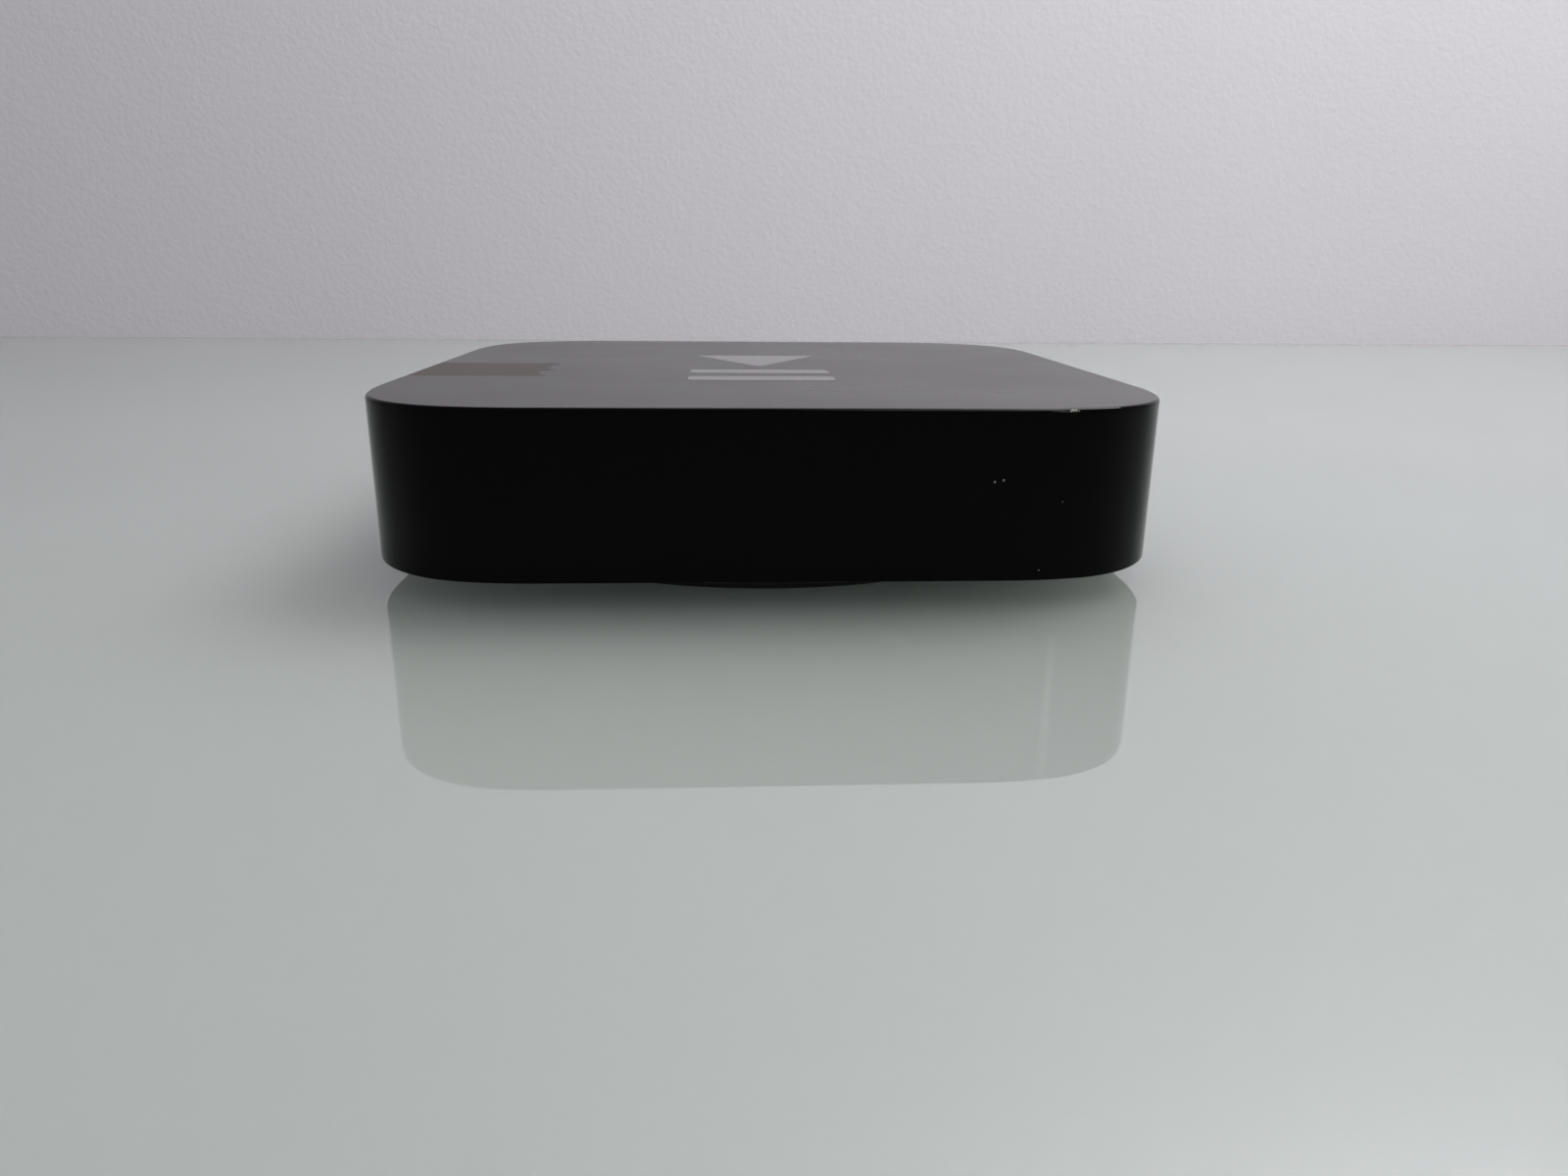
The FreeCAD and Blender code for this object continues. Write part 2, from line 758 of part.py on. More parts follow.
def make_power_lead():
    """Four wires over the insulating wall, from the power board to the logic board."""
    x0, x1 = power_left + 4.5, logic_right - 4.6
    wires = []
    for y in lead_places():
        route = [
            (x0, y, power_top + lead_rise),
            (x0, y, lead_top),
            (x1, y, lead_top),
            (x1, y, logic_top + lead_drop),
        ]
        wires.append(tube(route, 1.7, wire_radius))
    return Part.makeCompound(wires)


# ---- sockets on the logic board ------------------------------------------------------------------
def make_video_shell():
    """Folded metal shell, open in front."""
    outer = bevelled_profile(
        video_x, video_z(), video_width, video_height, video_bevel, port_face, video_depth
    )
    inner = bevelled_profile(
        video_x,
        video_z() + video_sheet,
        video_width - 2 * video_sheet,
        video_height - 2 * video_sheet,
        video_bevel,
        port_face + 1.0,
        video_depth + 2.0,
    )
    shell = outer.cut(inner)
    for side in (-1, 1):  # two spring windows in the roof
        x = video_x + side * 3.4
        y = port_face - 4.5
        top = video_z() + video_height
        shell = shell.cut(centred_box(x, y, 1.8, 4.6, top - video_sheet - 0.1, top + 0.1))
    return shell


def video_tongue_z():
    """Middle height of the video tongue."""
    return video_z() + video_height / 2


def make_video_insulator():
    """Block at the back with the tongue that carries the contacts."""
    block = bevelled_profile(
        video_x,
        video_z() + video_sheet,
        video_width - 2 * video_sheet,
        video_height - 2 * video_sheet,
        video_bevel,
        port_face - video_depth + video_block_depth,
        video_block_depth,
    )
    tongue = box(
        video_x - video_tongue_width / 2,
        video_x + video_tongue_width / 2,
        port_face - video_depth + 1.0,
        port_face - tongue_setback,
        video_tongue_z() - video_tongue_thickness / 2,
        video_tongue_z() + video_tongue_thickness / 2,
    )
    return joined([block, tongue])


def make_video_contacts():
    """Nineteen flat contacts, ten above the tongue and nine below."""
    y0 = port_face - video_depth + video_block_depth
    y1 = port_face - tongue_setback - 0.5
    rise = video_tongue_thickness / 2
    strips = []
    for count, side in ((10, 1), (9, -1)):
        z = video_tongue_z() + side * (rise + contact_thickness / 2)
        for i in range(count):
            x = video_x + (i - (count - 1) / 2)
            z0, z1 = z - contact_thickness / 2, z + contact_thickness / 2
            strips.append(box(x - contact_width / 2, x + contact_width / 2, y0, y1, z0, z1))
    return Part.makeCompound(strips)


def make_service_shell():
    """Metal shell of the service socket under the board."""
    outer = bevelled_profile(video_x, service_z(), service_width, service_height, service_bevel, port_face, service_depth)
    inner = bevelled_profile(
        video_x,
        service_z() + service_sheet,
        service_width - 2 * service_sheet,
        service_height - 2 * service_sheet,
        service_bevel,
        port_face + 1.0,
        service_depth + 2.0,
    )
    return outer.cut(inner)


def service_tongue_z():
    """Lower face of the service tongue."""
    return service_z() + service_height - service_sheet - service_tongue_thickness - 0.5


def make_service_insulator():
    """Block and tongue inside the service socket."""
    block = bevelled_profile(
        video_x,
        service_z() + service_sheet,
        service_width - 2 * service_sheet,
        service_height - 2 * service_sheet,
        service_bevel,
        port_face - service_depth + service_block_depth,
        service_block_depth,
    )
    tongue = box(
        video_x - service_tongue_width / 2,
        video_x + service_tongue_width / 2,
        port_face - service_depth + 0.5,
        port_face - 0.9,
        service_tongue_z(),
        service_tongue_z() + service_tongue_thickness,
    )
    return joined([block, tongue])


def make_service_contacts():
    """Five flat contacts under the tongue."""
    y0, y1 = port_face - service_depth + service_block_depth, port_face - 1.3
    z1 = service_tongue_z()
    strips = []
    for i in range(5):
        x = video_x + 0.65 * (i - 2)
        strips.append(box(x - 0.15, x + 0.15, y0, y1, z1 - contact_thickness, z1))
    return Part.makeCompound(strips)


cavity_floor = port_z - optical_cavity / 2
cavity_roof = port_z + optical_cavity / 2
hinge_y = port_face - shutter_setback
hinge_z = cavity_roof - barrel_top_gap - barrel_radius
shutter_half = optical_cavity / 2 - shutter_side_gap


def make_optical_body():
    """Block with the plug's space, the ferrule's bore and a seat for the emitter behind it."""
    side = optical_side / 2
    y0 = port_face - optical_depth
    body = box(
        optical_x - side, optical_x + side, y0, port_face, port_z - side, port_z + side
    )
    body = rounded(body, 0.5, BACK)
    cavity = bevelled_profile(
        optical_x,
        cavity_floor,
        optical_cavity,
        optical_cavity,
        optical_bevel,
        port_face + 1.0,
        optical_cavity_depth + 1.0,
    )
    cavity_back = port_face - optical_cavity_depth
    bore = rod(optical_x, y0 - 1, port_z, ferrule_radius, optical_depth - 1, BACK)
    seat_half = emitter_side / 2 + emitter_gap
    seat = box(
        optical_x - seat_half,
        optical_x + seat_half,
        y0 - 1,
        cavity_back - ferrule_length,
        port_z - seat_half,
        port_z + seat_half,
    )
    for cutter in (cavity, bore, seat):
        body = body.cut(cutter)
    pin_length = optical_side - 1.0
    start = optical_x - pin_length / 2
    return body.cut(rod(start, hinge_y, hinge_z, hinge_pin_radius, pin_length, RIGHT))


def make_optical_emitter():
    """Light source behind the ferrule's bore, with a domed lens."""
    face = port_face - optical_cavity_depth - ferrule_length
    half_side = emitter_side / 2
    block = box(
        optical_x - half_side,
        optical_x + half_side,
        face - emitter_depth,
        face,
        port_z - half_side,
        port_z + half_side,
    )
    lens = rod(optical_x, face - 0.2, port_z, lens_radius, 1.0, BACK)
    tip = [e for e in lens.Edges if e.BoundBox.YMin > face + 0.79]
    return joined([block, lens.makeFillet(0.7, tip)])


def make_optical_shutter():
    """Flap with two hinge barrels, and a gap between them for the spring."""
    low = cavity_floor + shutter_end_gap
    plate = bevelled_profile(
        optical_x,
        low,
        2 * shutter_half,
        hinge_z - low,
        optical_bevel,
        hinge_y + shutter_thickness / 2,
        shutter_thickness,
    )
    left = optical_x - shutter_half
    barrel = rod(left, hinge_y, hinge_z, barrel_radius, 2 * shutter_half, RIGHT)
    flap = joined([plate, barrel])
    room = spring_radius + spring_wire
    gap = box(
        optical_x - spring_space / 2,
        optical_x + spring_space / 2,
        hinge_y - 2,
        hinge_y + 2,
        hinge_z - room - 0.1,
        hinge_z + 2,
    )
    bore = rod(left - 1, hinge_y, hinge_z, barrel_bore, 2 * shutter_half + 2, RIGHT)
    return flap.cut(gap).cut(bore)


def make_shutter_pin():
    """Pin held in both sides of the optical body."""
    length = optical_side - 1.0
    return rod(optical_x - length / 2, hinge_y, hinge_z, hinge_pin_radius, length, RIGHT)


def make_shutter_spring():
    """Torsion spring round the pin, one leg under the roof and one behind the flap."""
    length = spring_space - 3 * spring_wire
    helix = Part.makeHelix(length / spring_turns, length, spring_radius)
    path = Part.Wire(helix.Edges)
    path.Placement = FreeCAD.Placement(
        V(optical_x - length / 2, hinge_y, hinge_z), FreeCAD.Rotation(BACK, 90)
    )
    coil = path.Edges[0]
    start = coil.valueAt(coil.FirstParameter)
    circle = Part.makeCircle(spring_wire / 2, start, coil.tangentAt(coil.FirstParameter))
    spring = path.makePipeShell([Part.Wire([circle])], True, False)
    end = coil.valueAt(coil.LastParameter)
    rise = cavity_roof - spring_wire / 2 - end.z
    leg = V(0, -spring_leg, rise)
    return joined([spring, Part.makeCylinder(spring_wire / 2, leg.Length, end, leg)])


network_floor = port_z - network_height / 2
plug_z = network_floor + plug_floor
plug_roof = plug_z + plug_height


def make_network_body():
    """Network socket: the plug's space, the stepped latch slot below it and room for the contacts."""
    y0 = port_face - network_depth
    body = centred_box(
        network_x,
        port_face - network_depth / 2,
        network_width,
        network_depth,
        network_floor,
        network_floor + network_height,
    )
    back = port_face - plug_depth
    steps = (
        (plug_width, plug_z, plug_roof, back),
        (latch_wide, plug_z - latch_wide_height, plug_z, back),
        (
            latch_narrow,
            plug_z - latch_wide_height - latch_narrow_height,
            plug_z - latch_wide_height,
            back,
        ),
        (
            contact_count * contact_pitch + 0.6,
            plug_roof,
            plug_roof + contact_room,
            y0 + contact_slot_wall,
        ),
    )
    for i, (width, low, high, rear) in enumerate(steps):
        front = port_face + 1.0 if i < 3 else port_face - 1.2
        x0, x1 = network_x - width / 2, network_x + width / 2
        body = body.cut(box(x0, x1, rear, front, low, high))
    return body


def make_network_shield():
    """Folded metal cover round the network socket, open in front."""
    wall = network_sheet
    y0 = port_face - network_depth
    outer = box(
        network_x - network_width / 2 - wall,
        network_x + network_width / 2 + wall,
        y0 - wall,
        port_face,
        network_floor - wall,
        network_floor + network_height + wall,
    )
    inner = centred_box(
        network_x,
        port_face - network_depth / 2 + 0.5,
        network_width,
        network_depth + 1.0,
        network_floor,
        network_floor + network_height,
    )
    shield = outer.cut(inner)
    for side in (-1, 1):  # slots that free a spring tab on each side
        x = network_x + side * (network_width / 2 + wall / 2)
        for z in (port_z - 1.8, port_z + 1.8):
            shield = shield.cut(centred_box(x, port_face - 6.0, 1.0, 6.0, z - 0.2, z + 0.2))
    return shield


def make_network_contacts():
    """Eight sprung wires that run forward in the roof and slope back into the plug's space."""
    top = plug_roof + contact_room * 0.65
    front = port_face - 2.0
    back = port_face - network_depth + contact_slot_wall
    wires = []
    for i in range(contact_count):
        x = network_x + contact_pitch * (i - (contact_count - 1) / 2)
        route = [
            (x, back, top),
            (x, front, top),
            (x, front, top - 1.2),
            (x, front - 8.0, plug_roof - contact_reach),
        ]
        wires.append(tube(route, 0.38, contact_wire / 2))
    return Part.makeCompound(wires)


# ---- logic board ---------------------------------------------------------------------------------
def make_logic_board():
    """Logic board, with notches for the sockets that straddle it and holes for its screws."""
    area = box(-half, logic_right, board_front, half, 0, case_height)
    board = slab(side_wall + board_wall_gap, logic_board_z, logic_top).common(area)
    network_half = network_width / 2 + network_sheet + 0.2
    network_back = port_face - network_depth - network_sheet - 0.2
    optical_half = optical_side / 2 + 0.2
    optical_back = port_face - optical_depth - 0.2
    low, high = logic_board_z - 1, logic_top + 1
    notches = [
        box(network_x - network_half, network_x + network_half, network_back, half, low, high),
        box(network_x, optical_x + optical_half, optical_back, half, low, high),
    ]
    for notch in notches:
        board = board.cut(notch)
    for x, y in logic_posts:
        board = board.cut(rod(x, y, low, screw_hole_radius, board_thickness + 2, UP))
    return board


def make_processor():
    """Processor under the board."""
    low = logic_board_z - processor_height
    base = centred_box(
        processor_x, processor_y, processor_side, processor_side, logic_board_z - 0.6, logic_board_z
    )
    lid = centred_box(
        processor_x, processor_y, processor_side - 1.6, processor_side - 1.6, low, logic_board_z
    )
    return joined([base, lid])


def make_processor_can():
    """Shielding can round the processor, with a window for the thermal pad."""
    low = logic_board_z - can_height
    outer = centred_box(processor_x, processor_y, can_side, can_side, low, logic_board_z)
    outer = rounded(outer, 0.8, UP)
    inner_side = can_side - 2 * can_sheet
    inner = centred_box(
        processor_x, processor_y, inner_side, inner_side, low + can_sheet, logic_board_z + 1
    )
    window = centred_box(processor_x, processor_y, can_window, can_window, low - 1, low + 1)
    return outer.cut(inner).cut(window)


def make_thermal_pad():
    """Soft pad that fills the space from the processor to the spreader."""
    side = processor_side - 1.6
    return centred_box(
        processor_x, processor_y, side, side, spreader_top, logic_board_z - processor_height
    )


def make_heat_spreader():
    """Aluminium plate under the logic board, with a raised boss round each screw."""
    inset = side_wall + board_wall_gap + spreader_inset
    area = box(
        -half,
        logic_right - spreader_inset,
        board_front + spreader_inset,
        spreader_rear_y,
        0,
        case_height,
    )
    plate = slab(inset, spreader_z, spreader_top).common(area)
    spread_posts = logic_posts[1:]
    rise = logic_board_z - spreader_z
    legs = [rod(x, y, spreader_z, leg_radius, rise, UP) for x, y in spread_posts]
    plate = joined([plate] + legs)
    for x, y in spread_posts:
        plate = plate.cut(rod(x, y, spreader_z - 1, screw_hole_radius, rise + 2, UP))
    for i in range(6):  # vent slots over the memory side
        x = processor_x + 22.0
        y = processor_y - 12.5 + 5.0 * i
        plate = plate.cut(rounded(centred_box(x, y, 9.0, 2.0, 0, spreader_top + 0.5), 0.9, UP))
    return plate


def make_memory_chips():
    """Working memory and flash storage on top of the board."""
    flash = centred_box(-33.0, -14.0, 12.0, 18.0, logic_top, logic_top + 1.2)
    memory = centred_box(-12.0, -10.0, 12.0, 9.0, logic_top, logic_top + 1.0)
    second = centred_box(-12.0, 2.0, 12.0, 9.0, logic_top, logic_top + 1.0)
    return Part.makeCompound([flash, memory, second])


def make_network_transformer():
    """Isolating transformer block behind the network socket."""
    y = port_face - network_depth - 8.0
    block = centred_box(network_x, y, 12.0, 9.0, logic_top + 0.3, logic_top + 5.3)
    legs = [
        centred_box(network_x + (i - 3.5) * 1.3, y + side * 5.0, 0.5, 1.0, logic_top, logic_top + 1.0)
        for i in range(8)
        for side in (-1, 1)
    ]
    return joined([rounded(block, 0.4, UP)] + legs)


def make_small_parts():
    """Coils, capacitors and resistors in rows on top of the board."""
    parts = []
    for i in range(4):
        parts.append(centred_box(0.5, 26.0 - 6.0 * i, 4.4, 4.4, logic_top, logic_top + 2.4))
    for i in range(9):
        parts.append(centred_box(-40.0 + 3.2 * i, 15.5, 1.6, 0.9, logic_top, logic_top + 0.8))
    for i in range(5):
        parts.append(centred_box(-38.0 + 3.2 * i, -1.0, 1.0, 0.6, logic_top, logic_top + 0.5))
    return Part.makeCompound(parts)


def make_radio_module():
    """Radio board beside the front edge."""
    return centred_box(radio_x, radio_y, radio_side, radio_side, logic_top, logic_top + radio_height)


def make_radio_can():
    """Shielding can over the radio board."""
    top = logic_top + radio_can_height
    outer = centred_box(radio_x, radio_y, radio_can_side, radio_can_side, logic_top, top)
    outer = rounded(outer, 0.8, UP)
    side = radio_can_side - 2 * can_sheet
    return outer.cut(centred_box(radio_x, radio_y, side, side, logic_top - 1, top - can_sheet))


coax_x = radio_x + 11.0
coax_z = logic_top + 3.3


def make_antenna():
    """Printed antenna on the front wall's inner face."""
    face = -inner_half + antenna_thickness
    end = antenna_x + antenna_length
    strip = box(antenna_x, end, -inner_half, face, antenna_z, antenna_z + antenna_height)
    slot_z = antenna_z + antenna_height * 0.55
    slot = box(antenna_x + 3.0, end + 1.0, -half, face + 1, slot_z, slot_z + 1.2)
    return strip.cut(slot)


def make_antenna_cable():
    """Thin coaxial lead from the antenna to its plug on the board."""
    front = -inner_half + antenna_thickness
    start_x = antenna_x + 6.0
    plug_y = radio_y + 4.0
    route = [
        (start_x, front, coax_z),
        (start_x, front + 3.2, coax_z),
        (coax_x, front + 7.5, coax_z),
        (coax_x, plug_y, coax_z),
        (coax_x, plug_y, logic_top + 1.5),
    ]
    return tube(route, 1.0, coax_radius)


def make_antenna_plug():
    """Round miniature plug under the cable's end."""
    plug_y = radio_y + 4.0
    base = centred_box(coax_x, plug_y, 2.6, 2.6, logic_top, logic_top + 0.4)
    return joined([base, rod(coax_x, plug_y, logic_top, 1.1, 1.5, UP)])


# ---- sensor board --------------------------------------------------------------------------------
def make_sensor_board():
    """Small upright board behind the front wall."""
    board = box(
        sensor_x - sensor_width / 2,
        sensor_x + sensor_width / 2,
        sensor_face,
        sensor_back,
        sensor_z,
        sensor_z + sensor_height,
    )
    board = rounded(board, 0.8, BACK)
    for x, z in sensor_posts:
        board = board.cut(rod(x, sensor_face - 1, z, sensor_screw_radius + 0.2, 3, BACK))
    return board


def make_receiver():
    """Infrared receiver with a domed lens towards the wall."""
    front = sensor_face - receiver_depth
    body = box(
        receiver_x - receiver_width / 2,
        receiver_x + receiver_width / 2,
        front,
        sensor_face,
        port_z - receiver_height / 2,
        port_z + receiver_height / 2,
    )
    dome = Part.makeSphere(receiver_lens, V(receiver_x, front + 0.3, port_z))
    dome = dome.common(box(-half, half, -half, front + 0.1, 0, case_height))
    return joined([body, dome])


def make_status_light():
    """Surface light source on the sensor board."""
    return centred_box(light_x, sensor_face - 0.4, 1.6, 0.8, port_z - 0.5, port_z + 0.5)


def make_light_pipe():
    """Clear rod from the light source to the front wall, with a flange against the wall."""
    front = -half + light_setback
    back = sensor_face - 0.8 - light_gap
    core = rod(light_x, front, port_z, light_radius, back - front, BACK)
    flange = rod(light_x, -inner_half, port_z, light_flange_radius, light_flange_thickness, BACK)
    return joined([core, flange])


signal_y = sensor_back + 1.4
signal_pitch = 0.8


def make_signal_headers():
    """Headers of the sensor lead, one on each board."""
    on_sensor = box(
        sensor_x - 6.3, sensor_x - 2.3, sensor_back, sensor_back + 2.8, port_z - 0.9, port_z + 3.1
    )
    x1 = logic_right - 4.0
    on_logic = box(x1 - 4.5, x1, signal_y - 2.4, signal_y + 1.0, logic_top, logic_top + 2.8)
    return Part.makeCompound([on_sensor, on_logic])


def make_sensor_lead():
    """Three thin wires from the sensor board to the logic board."""
    x0, x1 = sensor_x - 6.3, logic_right - 4.0
    wires = []
    for i in range(3):
        z = logic_top + 0.6 + signal_pitch * i
        route = [
            (x0, signal_y, z),
            (x0 - 2.6, signal_y, z),
            (x0 - 4.6, signal_y - 0.9, z),
            (x1, signal_y - 0.9, z),
        ]
        wires.append(tube(route, 2.0, signal_wire_radius))
    return Part.makeCompound(wires)


# ---- fasteners -----------------------------------------------------------------------------------
def make_board_screws():
    """Short screws: one through the logic board and four through the power board."""
    length = board_thickness + screw_engagement
    x, y = logic_posts[0]
    screws = [screw(x, y, logic_board_z, screw_radius, screw_head_radius, length, UP)]
    for x, y in power_posts:
        screws.append(screw(x, y, power_board_z, screw_radius, screw_head_radius, length, UP))
    return Part.makeCompound(screws)


def make_spreader_screws():
    """Long screws through the spreader and the logic board."""
    length = logic_top - spreader_z + screw_engagement
    return Part.makeCompound(
        [
            screw(x, y, spreader_z, screw_radius, screw_head_radius, length, UP)
            for x, y in logic_posts[1:]
        ]
    )


def make_sensor_screws():
    """Two small screws that hold the sensor board to its posts."""
    length = sensor_thickness + sensor_setback - 2.0
    return Part.makeCompound(
        [
            screw(x, sensor_back, z, sensor_screw_radius, sensor_screw_head, length, BACK * -1)
            for x, z in sensor_posts
        ]
    )


parts = {
    "housing": make_housing,
    "base_cover": make_base_cover,
    "foot_pad": make_foot_pad,
    "inlet_body": make_inlet_body,
    "inlet_pins": make_inlet_pins,
    "power_board": make_power_board,
    "power_insulator": make_insulator,
    "transformer_core": make_transformer_core,
    "transformer_winding": make_transformer_winding,
    "bulk_capacitors": make_bulk_capacitors,
    "output_capacitors": make_output_capacitors,
    "mains_choke": make_mains_choke,
    "mains_parts": make_mains_parts,
    "output_choke": make_output_choke,
    "power_headers": make_power_headers,
    "power_lead": make_power_lead,
    "video_shell": make_video_shell,
    "video_insulator": make_video_insulator,
    "video_contacts": make_video_contacts,
    "service_shell": make_service_shell,
    "service_insulator": make_service_insulator,
    "service_contacts": make_service_contacts,
    "optical_body": make_optical_body,
    "optical_emitter": make_optical_emitter,
    "optical_shutter": make_optical_shutter,
    "shutter_pin": make_shutter_pin,
    "shutter_spring": make_shutter_spring,
    "network_body": make_network_body,
    "network_shield": make_network_shield,
    "network_contacts": make_network_contacts,
    "logic_board": make_logic_board,
    "processor": make_processor,
    "processor_can": make_processor_can,
    "thermal_pad": make_thermal_pad,
    "heat_spreader": make_heat_spreader,
    "memory_chips": make_memory_chips,
    "network_transformer": make_network_transformer,
    "small_parts": make_small_parts,
    "radio_module": make_radio_module,
    "radio_can": make_radio_can,
    "antenna": make_antenna,
    "antenna_cable": make_antenna_cable,
    "antenna_plug": make_antenna_plug,
    "sensor_board": make_sensor_board,
    "infrared_receiver": make_receiver,
    "status_light": make_status_light,
    "light_pipe": make_light_pipe,
    "signal_headers": make_signal_headers,
    "sensor_lead": make_sensor_lead,
    "board_screws": make_board_screws,
    "spreader_screws": make_spreader_screws,
    "sensor_screws": make_sensor_screws,
}

os.makedirs("parts", exist_ok=True)
for name, make in parts.items():
    shape = make()
    shape.exportStep(f"parts/{name}.step")
    bounds = shape.BoundBox
    print(
        f"{name}: {len(shape.Solids)} solids, valid {shape.isValid()}, volume {shape.Volume:.1f},"
        f" x {bounds.XMin:.2f} {bounds.XMax:.2f}, y {bounds.YMin:.2f} {bounds.YMax:.2f},"
        f" z {bounds.ZMin:.2f} {bounds.ZMax:.2f}"
    )
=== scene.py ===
"""Looks of a small streaming media player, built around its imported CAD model.

The housing, the base cover, the foot, the printed mark and the sockets' shells are surfaces
worked out as arrays. The other parts keep their CAD shape and get their finish here. Sizes in
this file are millimetres until a mesh is made, which is in metres, in the CAD model's own frame:
the front faces -Y, the sockets +Y.
"""

import json
import logging
import math
from dataclasses import dataclass
from enum import Enum

import bmesh
import bpy
import numpy as np
from mathutils import Matrix, Vector

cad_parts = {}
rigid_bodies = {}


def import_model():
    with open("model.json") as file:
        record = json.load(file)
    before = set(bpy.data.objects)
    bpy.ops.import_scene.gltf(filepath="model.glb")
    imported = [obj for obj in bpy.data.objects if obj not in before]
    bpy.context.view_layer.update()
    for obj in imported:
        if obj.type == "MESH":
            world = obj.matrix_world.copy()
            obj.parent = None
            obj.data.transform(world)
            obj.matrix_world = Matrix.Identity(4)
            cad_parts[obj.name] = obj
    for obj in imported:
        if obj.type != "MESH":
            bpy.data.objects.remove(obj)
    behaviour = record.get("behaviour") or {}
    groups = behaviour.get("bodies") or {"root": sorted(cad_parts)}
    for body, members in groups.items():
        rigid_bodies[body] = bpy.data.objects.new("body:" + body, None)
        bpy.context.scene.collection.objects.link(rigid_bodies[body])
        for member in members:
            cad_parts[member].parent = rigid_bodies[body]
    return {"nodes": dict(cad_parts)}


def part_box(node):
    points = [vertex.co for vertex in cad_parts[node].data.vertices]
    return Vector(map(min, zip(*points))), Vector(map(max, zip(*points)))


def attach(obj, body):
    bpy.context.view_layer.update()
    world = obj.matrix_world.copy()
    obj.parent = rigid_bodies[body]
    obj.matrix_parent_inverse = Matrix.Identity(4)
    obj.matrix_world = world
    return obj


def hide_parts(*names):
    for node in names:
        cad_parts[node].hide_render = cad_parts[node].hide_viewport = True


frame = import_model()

log = logging.getLogger("player")
Tree = bpy.types.NodeTree
Socket = bpy.types.NodeSocket

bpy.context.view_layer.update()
MM = 0.001
PLAYER = "player"
# Points closer than this, in millimetres, are the same point.
MERGE_MM = 0.002


# ---- arrays and meshes -------------------------------------------------------------------------
@dataclass
class Solid:
    """A closed surface: points as rows of x, y, z in millimetres, and faces as point numbers."""

    points: np.ndarray
    faces: list

    def volume(self) -> float:
        """Signed volume, which is positive where the faces point outwards."""
        total = 0.0
        for face in self.faces:
            corners = self.points[list(face)]
            fan = np.cross(corners[1:-1] - corners[0], corners[2:] - corners[0])
            total += float((fan @ corners[0]).sum())
        return total / 6.0

    def outward(self) -> "Solid":
        """The same solid with its faces turned outwards."""
        if self.volume() < 0:
            self.faces = [tuple(reversed(face)) for face in self.faces]
        return self

    def moved(self, matrix: Matrix) -> "Solid":
        """The solid turned or shifted by a 4 by 4 matrix in millimetres."""
        rotation = np.array(matrix.to_3x3())
        points = self.points @ rotation.T + np.array(matrix.translation)
        return Solid(points, self.faces)


def box_mm(node: str) -> tuple[np.ndarray, np.ndarray]:
    """Lowest and highest corner of a CAD node, in millimetres."""
    low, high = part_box(node)
    return np.array(low) / MM, np.array(high) / MM


def quad_strip(rows: int, columns: int, wrap_rows: bool) -> list:
    """Quads between neighbouring rows of a grid whose columns close on themselves.

    Args:
        rows: number of rows of points.
        columns: points in each row.
        wrap_rows: whether the last row joins the first.

    Returns:
        Faces as tuples of four point numbers.
    """
    last = rows if wrap_rows else rows - 1
    row, column = np.meshgrid(np.arange(last), np.arange(columns), indexing="ij")
    after_row, after_column = (row + 1) % rows, (column + 1) % columns
    quads = np.stack(
        [
            row * columns + column,
            row * columns + after_column,
            after_row * columns + after_column,
            after_row * columns + column,
        ],
        axis=-1,
    )
    return [tuple(q) for q in quads.reshape(-1, 4).tolist()]


def capped(rings: np.ndarray) -> Solid:
    """A surface through rings of points, closed by a fan to the mean point of each end ring.

    Args:
        rings: rows by columns by three, from one end to the other.
    """
    rows, columns = rings.shape[:2]
    points = np.concatenate([rings.reshape(-1, 3), rings[:1].mean(1), rings[-1:].mean(1)])
    faces = quad_strip(rows, columns, wrap_rows=False)
    here = np.arange(columns)
    after = (here + 1) % columns
    first, last = rows * columns, rows * columns + 1
    base = (rows - 1) * columns
    faces += [(first, b, a) for a, b in zip(here.tolist(), after.tolist())]
    faces += [(last, base + a, base + b) for a, b in zip(here.tolist(), after.tolist())]
    return Solid(points, faces).outward()


def looped(rings: np.ndarray) -> Solid:
    """A tube wall: rings of points whose last row joins the first."""
    rows, columns = rings.shape[:2]
    return Solid(rings.reshape(-1, 3), quad_strip(rows, columns, wrap_rows=True)).outward()


def prism(section: np.ndarray, low: float, high: float, axis: int) -> Solid:
    """A polygon carried straight along an axis, with one flat face at each end.

    Args:
        section: points by two, in the plane across the axis, in X, Y, Z order.
        low: where the prism starts along the axis.
        high: where it ends.
        axis: 0, 1 or 2 for X, Y or Z.
    """
    count = len(section)
    ends = [np.insert(section, axis, value, axis=1) for value in (low, high)]
    faces = quad_strip(2, count, wrap_rows=False)
    faces += [tuple(range(count - 1, -1, -1)), tuple(range(count, 2 * count))]
    return Solid(np.concatenate(ends), faces).outward()


def block(low: tuple, high: tuple) -> Solid:
    """A plain block between two corners, for ribs and cutters."""
    (x0, y0, z0), (x1, y1, z1) = low, high
    return prism(np.array([(x0, y0), (x1, y0), (x1, y1), (x0, y1)], float), z0, z1, 2)


def lathe(profile: np.ndarray, centre: tuple, axis: int, count: int) -> Solid:
    """A profile of radius r and height turned about an axis: r cos a and r sin a across it.

    Args:
        profile: points by two, radius and height, from one end of the axis to the other.
        centre: a point of the axis.
        axis: 0, 1 or 2 for X, Y or Z.
        count: points round each ring.
    """
    angles = np.linspace(0, 2 * math.pi, count, endpoint=False)
    radius, height = profile[:, 0, None], profile[:, 1, None]
    parts = [radius * np.cos(angles), radius * np.sin(angles)]
    parts.insert(axis, height + 0 * angles)
    return capped(np.stack(parts, axis=-1) + np.array(centre))


